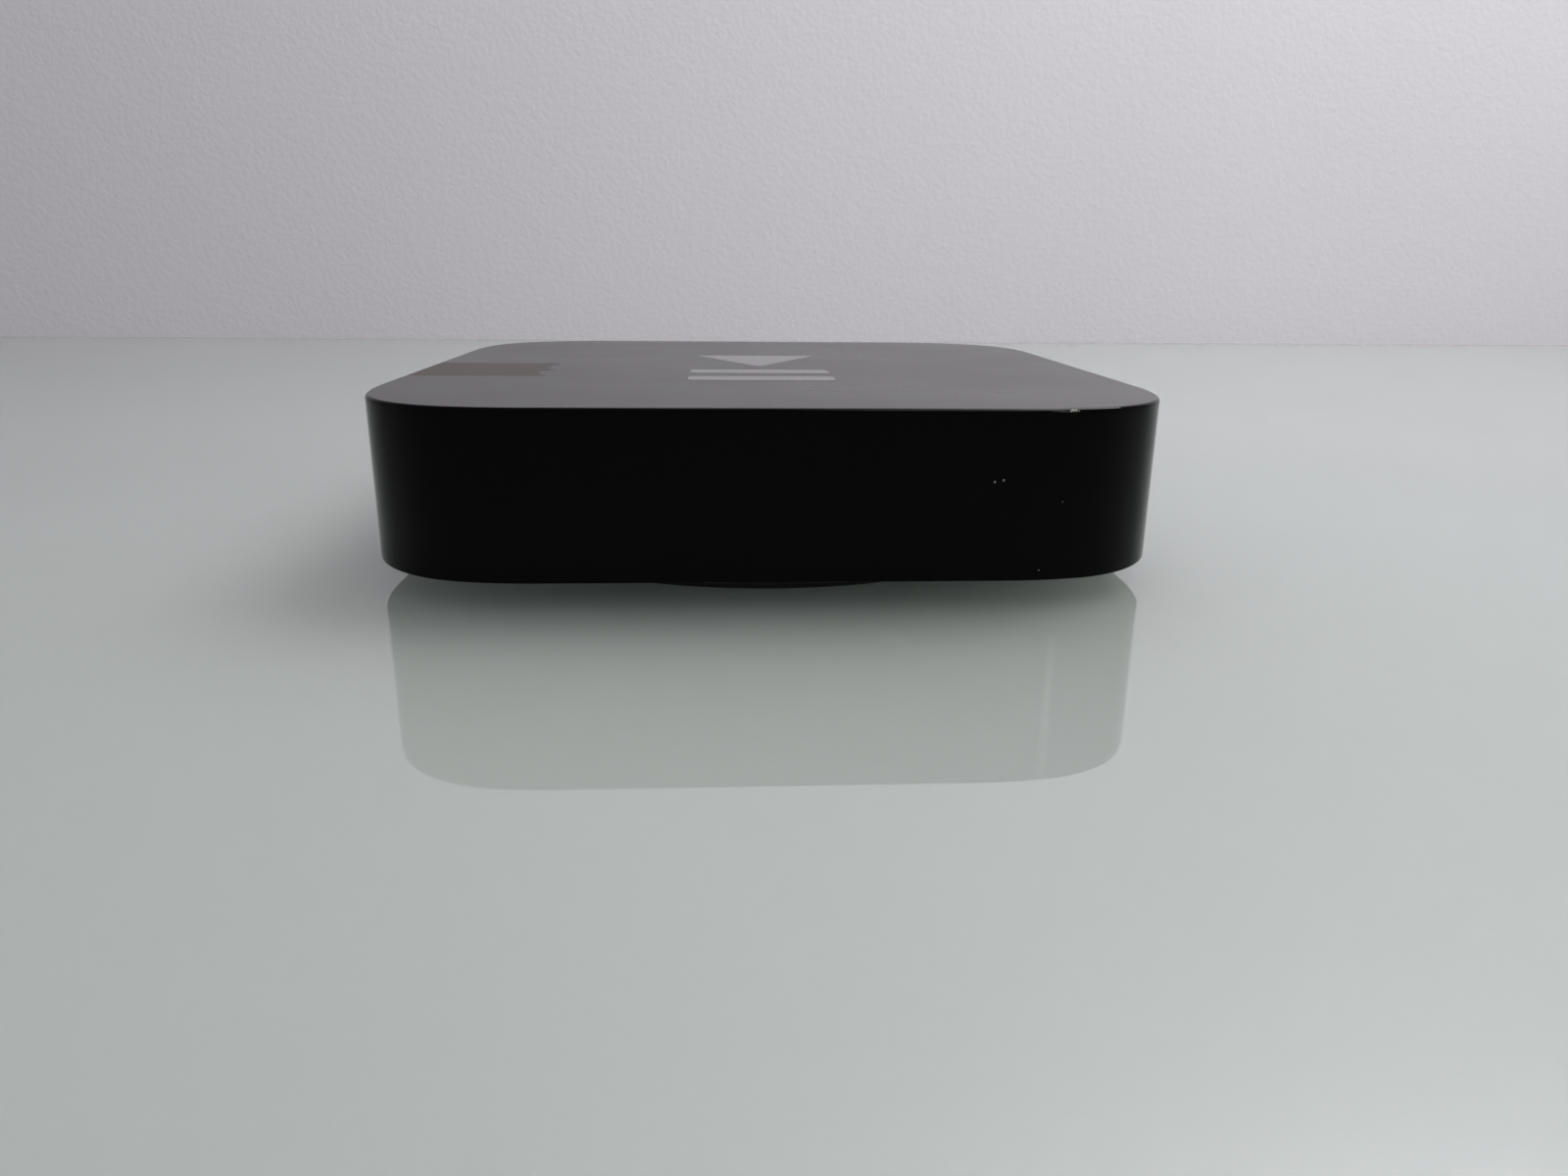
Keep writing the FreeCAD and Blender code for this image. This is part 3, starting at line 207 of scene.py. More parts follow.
def fillet(centre: tuple, radius: float, start: float, end: float, steps: int) -> np.ndarray:
    """Points on an arc: centre plus radius times cosine and sine, with angles in degrees."""
    angles = np.radians(np.linspace(start, end, steps + 1))
    return np.stack(
        [centre[0] + radius * np.cos(angles), centre[1] + radius * np.sin(angles)], axis=-1
    )


def rounded_polygon(corners: np.ndarray, radius: float, steps: int = 5) -> np.ndarray:
    """A convex polygon, anticlockwise, with an arc tangent to both sides at each corner.

    The arc's centre lies on the corner's bisector, at radius divided by the sine of half the
    corner's angle, and the arc runs from one side's outward normal to the next one's.
    """
    before = corners - np.roll(corners, 1, axis=0)
    after = np.roll(corners, -1, axis=0) - corners
    before /= np.linalg.norm(before, axis=1)[:, None]
    after /= np.linalg.norm(after, axis=1)[:, None]
    inward = after - before
    inward /= np.linalg.norm(inward, axis=1)[:, None]
    half_sine = np.sqrt((1 - (-before * after).sum(1)) / 2)
    centres = corners + inward * (radius / half_sine)[:, None]
    start = np.arctan2(-before[:, 0], before[:, 1])
    turn = (np.arctan2(-after[:, 0], after[:, 1]) - start) % (2 * math.pi)
    angles = start[:, None] + turn[:, None] * np.linspace(0, 1, steps + 1)
    arcs = np.stack([np.cos(angles), np.sin(angles)], axis=-1) * radius
    return (centres[:, None, :] + arcs).reshape(-1, 2)


def rectangle(x0: float, x1: float, z0: float, z1: float) -> np.ndarray:
    """Corners of a rectangle, anticlockwise."""
    return np.array([(x0, z0), (x1, z0), (x1, z1), (x0, z1)], float)


def bevelled(x0: float, x1: float, z0: float, z1: float, bevel: float) -> np.ndarray:
    """Corners of a rectangle whose two lower corners are cut off."""
    return np.array(
        [(x0 + bevel, z0), (x1 - bevel, z0), (x1, z0 + bevel), (x1, z1), (x0, z1), (x0, z0 + bevel)]
    )


def ray_lengths(outline: np.ndarray, angles: np.ndarray) -> np.ndarray:
    """How far rays from the origin go to an outline, read off between the outline's points."""
    turned = np.arctan2(outline[:, 1], outline[:, 0])
    return np.interp(angles, turned, np.hypot(outline[:, 0], outline[:, 1]), period=math.tau)


def grown(section: np.ndarray, margin: float) -> np.ndarray:
    """A section stretched about its middle so that it is wider by a margin on every side."""
    low, high = section.min(0), section.max(0)
    middle, half = (low + high) / 2, (high - low) / 2
    return middle + (section - middle) * (1 + margin / half)


def mesh_from(solids: list[Solid], name: str) -> bpy.types.Mesh:
    """One mesh, in metres, from solids in millimetres."""
    points = np.concatenate([s.points for s in solids])
    starts = np.cumsum([0] + [len(s.points) for s in solids[:-1]])
    faces = [
        tuple(start + i for i in face)
        for start, s in zip(starts.tolist(), solids)
        for face in s.faces
    ]
    mesh = bpy.data.meshes.new(name)
    mesh.from_pydata((points * MM).tolist(), [], faces)
    mesh.validate()
    return mesh


def scratch_object(solids: list[Solid], name: str) -> bpy.types.Object:
    """A helper object in the scene, removed again by the function that asks for it."""
    made = bpy.data.objects.new(name, mesh_from(solids, name))
    bpy.context.scene.collection.objects.link(made)
    return made


def carved(base: list[Solid], added: list[Solid], cuts: list[Solid], name: str) -> bpy.types.Mesh:
    """The base joined with added solids and cut by others.

    Args:
        base: solids that make up the body.
        added: solids joined to it.
        cuts: solids taken away from the result.
        name: name of the new mesh.

    Returns:
        One closed mesh.
    """
    body = scratch_object(base, name + "_base")
    tools = []
    for operation, solids in (("UNION", added), ("DIFFERENCE", cuts)):
        if solids:
            tool = scratch_object(solids, f"{name}_{operation.lower()}")
            step = body.modifiers.new(operation, "BOOLEAN")
            step.operation = operation
            step.object = tool
            step.solver = "EXACT"
            step.use_self = True
            tools.append(tool)
    graph = bpy.context.evaluated_depsgraph_get()
    mesh = bpy.data.meshes.new_from_object(body.evaluated_get(graph))
    mesh.name = name
    for helper in [body] + tools:
        bpy.data.objects.remove(helper)
    merge_close(mesh)
    return mesh


def merge_close(mesh: bpy.types.Mesh) -> None:
    """Merge points that a Boolean left almost together, and the slivers between them."""
    work = bmesh.new()
    work.from_mesh(mesh)
    bmesh.ops.remove_doubles(work, verts=work.verts, dist=MERGE_MM * MM)
    bmesh.ops.dissolve_degenerate(work, edges=work.edges, dist=MERGE_MM * MM)
    work.to_mesh(mesh)
    work.free()


# ---- finishes ----------------------------------------------------------------------------------
def linear(code: str) -> tuple[float, float, float, float]:
    """A colour written as six sRGB hex digits, as linear red, green, blue and alpha."""
    values = [int(code[i : i + 2], 16) / 255 for i in (0, 2, 4)]
    return tuple(
        v / 12.92 if v <= 0.04045 else ((v + 0.055) / 1.055) ** 2.4 for v in values
    ) + (1.0,)


def add_node(
    tree: Tree, kind: str, output: str | int | None, inputs: dict, **settings: object
) -> Socket | None:
    """Add a shader node, set it and fill its inputs.

    Args:
        tree: the node tree.
        kind: the node's type, without the word that all of them start with.
        output: the name or number of the output that is wanted, or None.
        inputs: each input's name or number, with a plain value or another node's output to link.
        settings: properties of the node.

    Returns:
        The wanted output.
    """
    node = tree.nodes.new("ShaderNode" + kind)
    for key, value in settings.items():
        setattr(node, key, value)
    for key, value in inputs.items():
        if isinstance(value, Socket):
            tree.links.new(value, node.inputs[key])
        else:
            node.inputs[key].default_value = value
    return None if output is None else node.outputs[output]


# A colour mix's inputs for the share and the two colours, and its output, by number.
SHARE, FIRST, SECOND, MIXED = 0, 6, 7, 2


class Grain(Enum):
    """How a surface's grain runs: the scale along each axis, small where it is drawn out."""

    EVEN = (1.0, 1.0, 1.0)
    ALONG_Y = (1.0, 0.04, 1.0)


@dataclass(frozen=True)
class Finish:
    """A finish whose colour, roughness and relief vary with noise at real scales.

    The fields are the name, two sRGB colours that it wanders between, the size in millimetres of
    that wandering, the lowest and highest roughness, the grain's size and depth in millimetres
    and its direction, and the shader's uniform values.
    """

    name: str
    colour: str
    second_colour: str
    patch_mm: float = 9.0
    roughness: tuple[float, float] = (0.35, 0.45)
    grain_mm: float = 0.4
    grain_depth_mm: float = 0.004
    grain: Grain = Grain.EVEN
    metallic: float = 0.0
    specular: float = 0.5
    coat: float = 0.0
    transmission: float = 0.0
    ior: float = 1.5
    sheen: float = 0.0
    subsurface_mm: float = 0.0

    def material(self) -> bpy.types.Material:
        """The finish as a material, made once."""
        found = bpy.data.materials.get(self.name)
        if found:
            return found
        made = bpy.data.materials.new(self.name)
        made.use_nodes = True
        tree = made.node_tree
        tree.nodes.clear()
        place = add_node(tree, "TexCoord", "Object", {})
        colour, roughness, height = self.surface(tree, place)
        relief = {"Height": height, "Strength": 1.0, "Distance": self.grain_depth_mm * MM}
        shader = {
            "Base Color": colour,
            "Roughness": roughness,
            "Normal": add_node(tree, "Bump", "Normal", relief),
            "Metallic": self.metallic,
            "Specular IOR Level": self.specular,
            "Coat Weight": self.coat,
            "Transmission Weight": self.transmission,
            "IOR": self.ior,
            "Sheen Weight": self.sheen,
            "Subsurface Weight": 1.0 if self.subsurface_mm else 0.0,
            "Subsurface Scale": self.subsurface_mm * MM,
            "Subsurface Radius": (1.0, 1.0, 1.0),
        }
        add_node(
            tree,
            "OutputMaterial",
            None,
            {"Surface": add_node(tree, "BsdfPrincipled", "BSDF", shader)},
        )
        return made

    def surface(self, tree: Tree, place: Socket) -> tuple:
        """Outputs for colour, roughness and height, which a patterned finish overrides."""
        patches = add_node(
            tree,
            "TexNoise",
            "Fac",
            {"Vector": place, "Scale": 1 / (self.patch_mm * MM), "Detail": 4.0},
        )
        return self.patched_colour(tree, patches), self.patched_roughness(
            tree, patches
        ), self.grained(tree, place)

    def patched_colour(self, tree: Tree, patches: Socket) -> Socket:
        """The first colour where the patches are low, the second where they are high."""
        ends = {SHARE: patches, FIRST: linear(self.colour), SECOND: linear(self.second_colour)}
        return add_node(tree, "Mix", MIXED, ends, data_type="RGBA")

    def patched_roughness(self, tree: Tree, patches: Socket) -> Socket:
        """Roughness from its lowest to its highest value over the patches' middle range."""
        low, high = self.roughness
        span = {"Value": patches, "From Min": 0.3, "From Max": 0.7, "To Min": low, "To Max": high}
        return add_node(tree, "MapRange", "Result", span)

    def grained(self, tree: Tree, place: Socket) -> Socket:
        """Fine grain of the right size, drawn out along its direction."""
        drawn = add_node(tree, "Mapping", "Vector", {"Vector": place, "Scale": self.grain.value})
        return add_node(
            tree,
            "TexNoise",
            "Fac",
            {"Vector": drawn, "Scale": 1 / (self.grain_mm * MM), "Detail": 2.0},
        )


@dataclass(frozen=True)
class PolishedBlack(Finish):
    """Gloss-moulded ABS: deep black with hairlines, a little dust, a few handling marks and a
    painted highlight on a nick.

    A mark is a place in millimetres and a radius, and it takes the dust's colour; on the nick
    that colour is a painted highlight. Dust is a colour, the distance between specks, the share of
    places that have one, and a speck's radius.
    """

    dust_and_glint: str = "9a978f"
    dust_spacing_mm: float = 3.4
    dust_share: float = 0.1
    dust_radius_mm: float = 0.07
    hairline: float = 0.1
    marks_and_glint: tuple = ()

    def surface(self, tree: Tree, place: Socket) -> tuple:
        """Black with specks of dust and the marks, and hairlines in the roughness."""
        patches = add_node(
            tree,
            "TexNoise",
            "Fac",
            {"Vector": place, "Scale": 1 / (self.patch_mm * MM), "Detail": 4.0},
        )
        spots = self.specks(tree, place)
        # Each mark is painted in the dust's colour; on the nick that pale colour is a painted
        # highlight.
        for mark in self.marks_and_glint:
            spots = add_node(
                tree, "Math", 0, {0: spots, 1: self.spot(tree, place, *mark)}, operation="MAXIMUM"
            )
        ends = {SHARE: spots, FIRST: self.patched_colour(tree, patches), SECOND: linear(self.dust_and_glint)}
        colour = add_node(tree, "Mix", MIXED, ends, data_type="RGBA")
        marred = {
            0: self.hairlines(tree, place),
            1: self.hairline,
            2: self.patched_roughness(tree, patches),
        }
        roughness = add_node(tree, "Math", 0, marred, operation="MULTIPLY_ADD")
        return colour, roughness, self.grained(tree, place)

    def specks(self, tree: Tree, place: Socket) -> Socket:
        """1 in round specks at the points of some cells of a random pattern, 0 elsewhere."""
        spacing, radius = self.dust_spacing_mm * MM, self.dust_radius_mm / self.dust_spacing_mm
        cells = {"Vector": place, "Scale": 1 / spacing}
        distance = add_node(tree, "TexVoronoi", "Distance", cells)
        chance = add_node(
            tree, "SeparateColor", 0, {0: add_node(tree, "TexVoronoi", "Color", cells)}
        )
        chosen = add_node(tree, "Math", 0, {0: chance, 1: self.dust_share}, operation="LESS_THAN")
        span = {
            "Value": distance,
            "From Min": radius * 0.6,
            "From Max": radius,
            "To Min": 1.0,
            "To Max": 0.0,
        }
        round_speck = add_node(tree, "MapRange", "Result", span)
        return add_node(tree, "Math", 0, {0: chosen, 1: round_speck}, operation="MULTIPLY")

    def spot(
        self, tree: Tree, place: Socket, x: float, y: float, z: float, radius: float
    ) -> Socket:
        """1 within a radius of a place, fading to 0 over the last part of it."""
        here = {0: place, 1: (x * MM, y * MM, z * MM)}
        distance = add_node(tree, "VectorMath", "Value", here, operation="DISTANCE")
        span = {
            "Value": distance,
            "From Min": radius * MM * 0.6,
            "From Max": radius * MM,
            "To Min": 1.0,
            "To Max": 0.0,
        }
        return add_node(tree, "MapRange", "Result", span)

    def hairlines(self, tree: Tree, place: Socket) -> Socket:
        """Thin crossing lines: two drawn-out noises, each kept where it is close to one value."""
        lines = []
        for turn, scale in ((0.5, (0.03, 1.0, 1.0)), (-0.9, (1.0, 0.04, 0.6))):
            turned = {"Vector": place, "Rotation": (turn, turn, turn), "Scale": scale}
            drawn = add_node(tree, "Mapping", "Vector", turned)
            value = add_node(
                tree, "TexNoise", "Fac", {"Vector": drawn, "Scale": 1 / (0.9 * MM), "Detail": 1.0}
            )
            close = {0: value, 1: 0.62, 2: 0.004}
            lines.append(add_node(tree, "Math", 0, close, operation="COMPARE"))
        return add_node(tree, "Math", 0, dict(enumerate(lines)), operation="MAXIMUM")


@dataclass(frozen=True)
class SatinTop(PolishedBlack):
    """The same ABS with a satin texture, faint smudges, and a stain where tape once was.

    The stain's limits are x and y in millimetres. It starts at the front edge and has a torn end.
    """

    stain: str = "2b1c14"
    stain_x: tuple[float, float] = (-2.0, 16.5)
    stain_end_y: float = -31.0
    stain_tear_mm: float = 3.0
    stain_strength: float = 0.8
    stain_roughness: float = 0.16
    smudge_mm: float = 24.0

    def surface(self, tree: Tree, place: Socket) -> tuple:
        """Satin black, smoother where it was touched, and browner and duller under the stain."""
        smudges = add_node(
            tree,
            "TexNoise",
            "Fac",
            {"Vector": place, "Scale": 1 / (self.smudge_mm * MM), "Detail": 5.0},
        )
        ends = {
            SHARE: self.specks(tree, place),
            FIRST: self.patched_colour(tree, smudges),
            SECOND: linear(self.dust_and_glint),
        }
        dusty = add_node(tree, "Mix", MIXED, ends, data_type="RGBA")
        stained = self.stained(tree, place)
        amount = add_node(
            tree, "Math", 0, {0: stained, 1: self.stain_strength}, operation="MULTIPLY"
        )
        ends = {SHARE: amount, FIRST: dusty, SECOND: linear(self.stain)}
        colour = add_node(tree, "Mix", MIXED, ends, data_type="RGBA")
        duller = {0: stained, 1: self.stain_roughness, 2: self.patched_roughness(tree, smudges)}
        roughness = add_node(tree, "Math", 0, duller, operation="MULTIPLY_ADD")
        return colour, roughness, self.grained(tree, place)

    def stained(self, tree: Tree, place: Socket) -> Socket:
        """1 between the stain's two sides and in front of its torn end, and 0 elsewhere.

        The torn end is a line across, moved to and fro by noise that varies along it.
        """
        middle = (self.stain_x[0] + self.stain_x[1]) / 2 * MM
        half = (self.stain_x[1] - self.stain_x[0]) / 2 * MM
        x = add_node(tree, "SeparateXYZ", "X", {0: place})
        y = add_node(tree, "SeparateXYZ", "Y", {0: place})
        across = add_node(tree, "Math", 0, {0: x, 1: middle, 2: half}, operation="COMPARE")
        drawn = add_node(tree, "Mapping", "Vector", {"Vector": place, "Scale": (1.0, 0.1, 1.0)})
        tear = add_node(
            tree, "TexNoise", "Fac", {"Vector": drawn, "Scale": 1 / (2.2 * MM), "Detail": 3.0}
        )
        reach = self.stain_tear_mm * MM
        limit = {0: tear, 1: 2 * reach, 2: self.stain_end_y * MM - reach}
        end = add_node(tree, "Math", 0, limit, operation="MULTIPLY_ADD")
        along = add_node(tree, "Math", 0, {0: y, 1: end}, operation="LESS_THAN")
        return add_node(tree, "Math", 0, {0: across, 1: along}, operation="MULTIPLY")


@dataclass(frozen=True)
class Laminate(Finish):
    """Glass-epoxy board under a solder mask, with tracks and plated holes.

    Tracks are about 0.2 mm wide on the real board, and drawn at 0.4 mm so that they show.
    """

    track_colour: str = "1d5a3c"
    hole_colour: str = "b49a5a"
    track_pitch_mm: float = 2.4
    hole_pitch_mm: float = 3.1

    def surface(self, tree: Tree, place: Socket) -> tuple:
        """Tracks as a brick pattern's joints, holes as the middles of a random one's cells."""
        bricks = {
            "Vector": place,
            "Color1": linear(self.colour),
            "Color2": linear(self.second_colour),
            "Mortar": linear(self.track_colour),
            "Scale": 1 / (self.track_pitch_mm * MM),
            "Mortar Size": 0.08,
            "Brick Width": 1.7,
            "Row Height": 0.5,
        }
        tracks = add_node(tree, "TexBrick", "Color", bricks, offset=0.37, squash=1.6)
        height = add_node(tree, "TexBrick", "Fac", bricks, offset=0.37, squash=1.6)
        distance = add_node(
            tree,
            "TexVoronoi",
            "Distance",
            {"Vector": place, "Scale": 1 / (self.hole_pitch_mm * MM)},
        )
        span = {"Value": distance, "From Min": 0.07, "From Max": 0.1, "To Min": 1.0, "To Max": 0.0}
        hole = add_node(tree, "MapRange", "Result", span)
        ends = {SHARE: hole, FIRST: tracks, SECOND: linear(self.hole_colour)}
        return add_node(
            tree, "Mix", MIXED, ends, data_type="RGBA"
        ), self.patched_roughness(tree, hole), height


@dataclass(frozen=True)
class Striped(Finish):
    """A finish wound in bands across one axis, such as turns of wire or layers of tape."""

    band_mm: float = 0.35
    axis: str = "Z"

    def surface(self, tree: Tree, place: Socket) -> tuple:
        """Bands: the sine of the distance along the axis, one turn for each band."""
        along = add_node(tree, "SeparateXYZ", self.axis, {0: place})
        phase = add_node(
            tree, "Math", 0, {0: along, 1: math.tau / (self.band_mm * MM)}, operation="MULTIPLY"
        )
        wave = add_node(tree, "Math", 0, {0: phase}, operation="SINE")
        share = add_node(tree, "Math", 0, {0: wave, 1: 0.5, 2: 0.5}, operation="MULTIPLY_ADD")
        patches = add_node(
            tree, "TexNoise", "Fac", {"Vector": place, "Scale": 1 / (self.patch_mm * MM)}
        )
        return self.patched_colour(tree, share), self.patched_roughness(tree, patches), share


# Gloss-moulded ABS: almost no diffuse colour, so it shows only what it mirrors. The marks are two
# dust specks, two scuffs, and a nick in the top edge whose glint is a painted highlight, all on the
# right-hand side.
POLISHED_ABS = PolishedBlack(
    "abs_gloss_moulded",
    "020202",
    "040404",
    roughness=(0.045, 0.09),
    grain_mm=5.0,
    grain_depth_mm=0.0008,
    specular=0.07,
    marks_and_glint=(
        (49.0, 24.9, 14.8, 0.15),
        (49.0, 25.9, 15.0, 0.15),
        (48.6, 33.0, 12.4, 0.1),
        (48.8, 30.8, 4.4, 0.1),
        # A real nick in the top edge, painted pale: a painted highlight where the nick catches the
        # light.
        (48.5, 33.1, 22.72, 0.16),
        (48.45, 33.35, 22.8, 0.22),
        (48.4, 33.7, 22.78, 0.2),
        (48.4, 34.05, 22.72, 0.13),
    ),
)
# Satin-textured ABS: the same black, dull enough to spread the light that it catches.
SATIN_ABS = SatinTop(
    "abs_satin_textured",
    "0d0b0a",
    "12100f",
    roughness=(0.27, 0.31),
    grain_mm=0.35,
    grain_depth_mm=0.0005,
    dust_spacing_mm=6.0,
    dust_share=0.05,
)
# The inside of the moulding is as it left the tool, with no polish.
MOULDED_ABS = Finish("abs_as_moulded", "121213", "18181a", roughness=(0.45, 0.6), grain_mm=0.5)
# Spark-textured polycarbonate of the base cover: dull and evenly grained.
TEXTURED_PC = Finish(
    "polycarbonate_spark_textured",
    "151516",
    "1c1c1d",
    roughness=(0.5, 0.62),
    grain_mm=0.3,
    grain_depth_mm=0.012,
)
# Silicone rubber, moulded matt, which holds a little dust.
SILICONE = Finish(
    "silicone_rubber_matt",
    "1d1d1e",
    "29282a",
    roughness=(0.62, 0.8),
    grain_mm=0.25,
    grain_depth_mm=0.01,
    sheen=0.1,
)
# Screen-printed ink: a thin grey layer that is lighter than the satin round it and as smooth.
PRINTED_INK = Finish(
    "screen_print_grey", "5b5b5d", "656568", roughness=(0.23, 0.27), grain_depth_mm=0.0005
)
# Glass-filled nylon: dull black with a faint grain from the fibres.
NYLON_BLACK = Finish(
    "nylon_glass_filled",
    "0e0e0f",
    "161617",
    roughness=(0.4, 0.55),
    grain_mm=0.3,
    grain_depth_mm=0.006,
)
# Unfilled nylon: the milky off-white of board headers.
NYLON_NATURAL = Finish("nylon_natural", "d8d2bf", "c9c2ad", roughness=(0.4, 0.5), grain_mm=0.5)
# Nickel on pressed steel: a warm grey half-mirror, with draw marks along the socket.
PLATED_STEEL = Finish(
    "steel_nickel_plated",
    "c9c6bf",
    "b5b2ab",
    roughness=(0.2, 0.34),
    grain_mm=0.25,
    grain_depth_mm=0.0015,
    grain=Grain.ALONG_Y,
    metallic=1.0,
)
# Thin gold on bronze contacts, almost a mirror.
PLATED_GOLD = Finish(
    "bronze_gold_plated",
    "e6b95c",
    "d3a24a",
    roughness=(0.16, 0.28),
    metallic=1.0,
    grain_depth_mm=0.001,
)
# Nickel on turned brass: the pins are bright, with a slightly yellow cast.
PLATED_BRASS = Finish(
    "brass_nickel_plated",
    "d3cdbd",
    "c3bcab",
    roughness=(0.14, 0.26),
    metallic=1.0,
    grain_depth_mm=0.001,
)
# Drawn spring wire, a darker grey than plate.
SPRING_STEEL = Finish("steel_spring_wire", "9b9a97", "868583", roughness=(0.25, 0.4), metallic=1.0)
# Zinc on rolled-thread screws: a cool grey.
ZINC_STEEL = Finish("steel_zinc_plated", "aeb1b5", "989ca2", roughness=(0.28, 0.42), metallic=1.0)
# Rolled aluminium sheet: pale, with fine rolling lines.
ROLLED_ALUMINIUM = Finish(
    "aluminium_rolled_sheet",
    "c8c9cb",
    "b9babd",
    roughness=(0.32, 0.44),
    grain_mm=0.3,
    grain_depth_mm=0.003,
    grain=Grain.ALONG_Y,
    metallic=1.0,
)
# Laminates under a glossy mask: a near-black one for the logic, a green one for the power supply.
LOGIC_LAMINATE = Laminate(
    "laminate_dark_mask", "0d1a18", "10201c", roughness=(0.3, 0.4), track_colour="17332c"
)
POWER_LAMINATE = Laminate(
    "laminate_green_mask", "1c5230", "226038", roughness=(0.32, 0.42), track_pitch_mm=4.0
)
# Transfer-moulded epoxy: charcoal with the fine tooth of its filler.
EPOXY = Finish(
    "epoxy_moulded_package",
    "1b1b1d",
    "232325",
    roughness=(0.45, 0.6),
    grain_mm=0.2,
    grain_depth_mm=0.004,
)
# Filled silicone pad: a chalky blue-grey.
THERMAL_SILICONE = Finish(
    "silicone_thermal_pad", "7d8ea3", "8796aa", roughness=(0.6, 0.75), grain_mm=0.6
)
# Die-cut film, with the slow waves of a folded sheet.
FILM = Finish(
    "polycarbonate_film_black",
    "17181a",
    "1d1e21",
    roughness=(0.25, 0.4),
    grain_mm=3.0,
    grain_depth_mm=0.01,
)
# Sintered ferrite: a matt iron grey with open grain.
FERRITE = Finish(
    "ferrite_sintered", "3a3a3c", "474749", roughness=(0.6, 0.8), grain_mm=0.35, grain_depth_mm=0.01
)
# Polyester tape wound over the coil, whose layers show as faint steps.
TAPE = Striped(
    "polyester_tape_wound",
    "c9a21c",
    "b48f16",
    roughness=(0.25, 0.35),
    band_mm=3.0,
    grain_depth_mm=0.02,
)
# Enamelled copper wire, about 0.6 mm thick, wound side by side.
WIRE_TURNS = Striped(
    "copper_wire_enamelled",
    "a4522a",
    "5e2a14",
    roughness=(0.25, 0.4),
    band_mm=0.6,
    axis="X",
    coat=0.3,
)
# Shrunk sleeve of a capacitor: smooth dark blue.
SLEEVE = Finish(
    "pvc_sleeve_shrunk", "232b4a", "1d2440", roughness=(0.2, 0.3), grain_mm=2.0, coat=0.2
)
# Parts dipped in blue epoxy, with its soft unevenness.
DIPPED = Finish(
    "epoxy_dipped_blue",
    "2c5aa0",
    "264f90",
    roughness=(0.25, 0.4),
    grain_mm=0.8,
    grain_depth_mm=0.02,
)
# Extruded wire insulation.
PVC_RED = Finish("pvc_insulation_red", "8f1f1c", "7d1a18", roughness=(0.3, 0.4), grain_mm=0.8)
PVC_BLACK = Finish("pvc_insulation_black", "1a1a1c", "222224", roughness=(0.3, 0.42), grain_mm=0.8)
# Moulded acrylic of the light pipe: clear, with a polished end.
ACRYLIC = Finish(
    "acrylic_clear_moulded",
    "f2f4f4",
    "e9eded",
    roughness=(0.04, 0.1),
    transmission=1.0,
    ior=1.49,
    grain_depth_mm=0.0,
)
# Filter epoxy that passes infrared: black with a wine-red cast, and glossy.
FILTER = Finish("epoxy_infrared_passing", "1a0a12", "220d18", roughness=(0.08, 0.16), coat=0.4)
# The lamp's phosphor, under clear epoxy.
LAMP = Finish("epoxy_phosphor_white", "efe9bf", "e6dfb0", roughness=(0.2, 0.3))
# Etched copper of the antenna, slightly tarnished.
ETCHED_COPPER = Finish(
    "copper_etched_foil", "b4744a", "a3663f", roughness=(0.3, 0.45), metallic=1.0
)
# Fired ceramic of small capacitors: tan.
CERAMIC = Finish("ceramic_fired_chip", "8f765c", "a48a70", roughness=(0.4, 0.55), grain_mm=0.3)
# Milky glass: a pale green-white body that light spreads through, under an almost perfect mirror.
TABLE_GLASS = Finish(
    "glass_opal_polished",
    "9ca29e",
    "a2a7a4",
    patch_mm=120,
    roughness=(0.012, 0.02),
    grain_mm=60,
    grain_depth_mm=0.0,
    ior=1.85,
    subsurface_mm=150.0,
)
# Emulsion paint on plaster: dead matt, with the orange-peel of a roller, about 2 mm across.
WALL_PAINT = Finish(
    "emulsion_paint_rolled",
    "dad6dc",
    "dfdbe1",
    patch_mm=150,
    roughness=(0.7, 0.8),
    grain_mm=2.2,
    grain_depth_mm=0.13,
)


# ---- pieces ------------------------------------------------------------------------------------
SHARP_ANGLE = math.radians(32)


def place_piece(
    mesh: bpy.types.Mesh, name: str, finishes: list[Finish], body: str, nodes: tuple = ()
) -> bpy.types.Object:
    """Put a finished mesh in the scene as a piece of the object.

    Args:
        mesh: the mesh, in metres, in the CAD frame.
        name: the piece's name.
        finishes: its finishes, in the order of the mesh's material numbers.
        body: the CAD body that it rides on.
        nodes: CAD nodes that it stands for.

    Returns:
        The new object.
    """
    for finish in finishes:
        mesh.materials.append(finish.material())
    mesh.polygons.foreach_set("use_smooth", np.ones(len(mesh.polygons), bool))
    mesh.set_sharp_from_angle(angle=SHARP_ANGLE)
    mesh.update()
    piece = bpy.data.objects.new(name, mesh)
    bpy.context.scene.collection.objects.link(piece)
    shading = piece.modifiers.new("weighted_normals", "WEIGHTED_NORMAL")
    shading.keep_sharp = True
    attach(piece, body)
    if nodes:
        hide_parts(*nodes)
    log.info("%s: %d faces", name, len(mesh.polygons))
    return piece


def dress(nodes: dict[str, Finish]) -> None:
    """Give CAD nodes their finish, in every material slot."""
    for name, finish in nodes.items():
        node = frame["nodes"][name]
        node.data.materials.clear()
        node.data.materials.append(finish.material())
        log.info("%s: %s", name, finish.name)


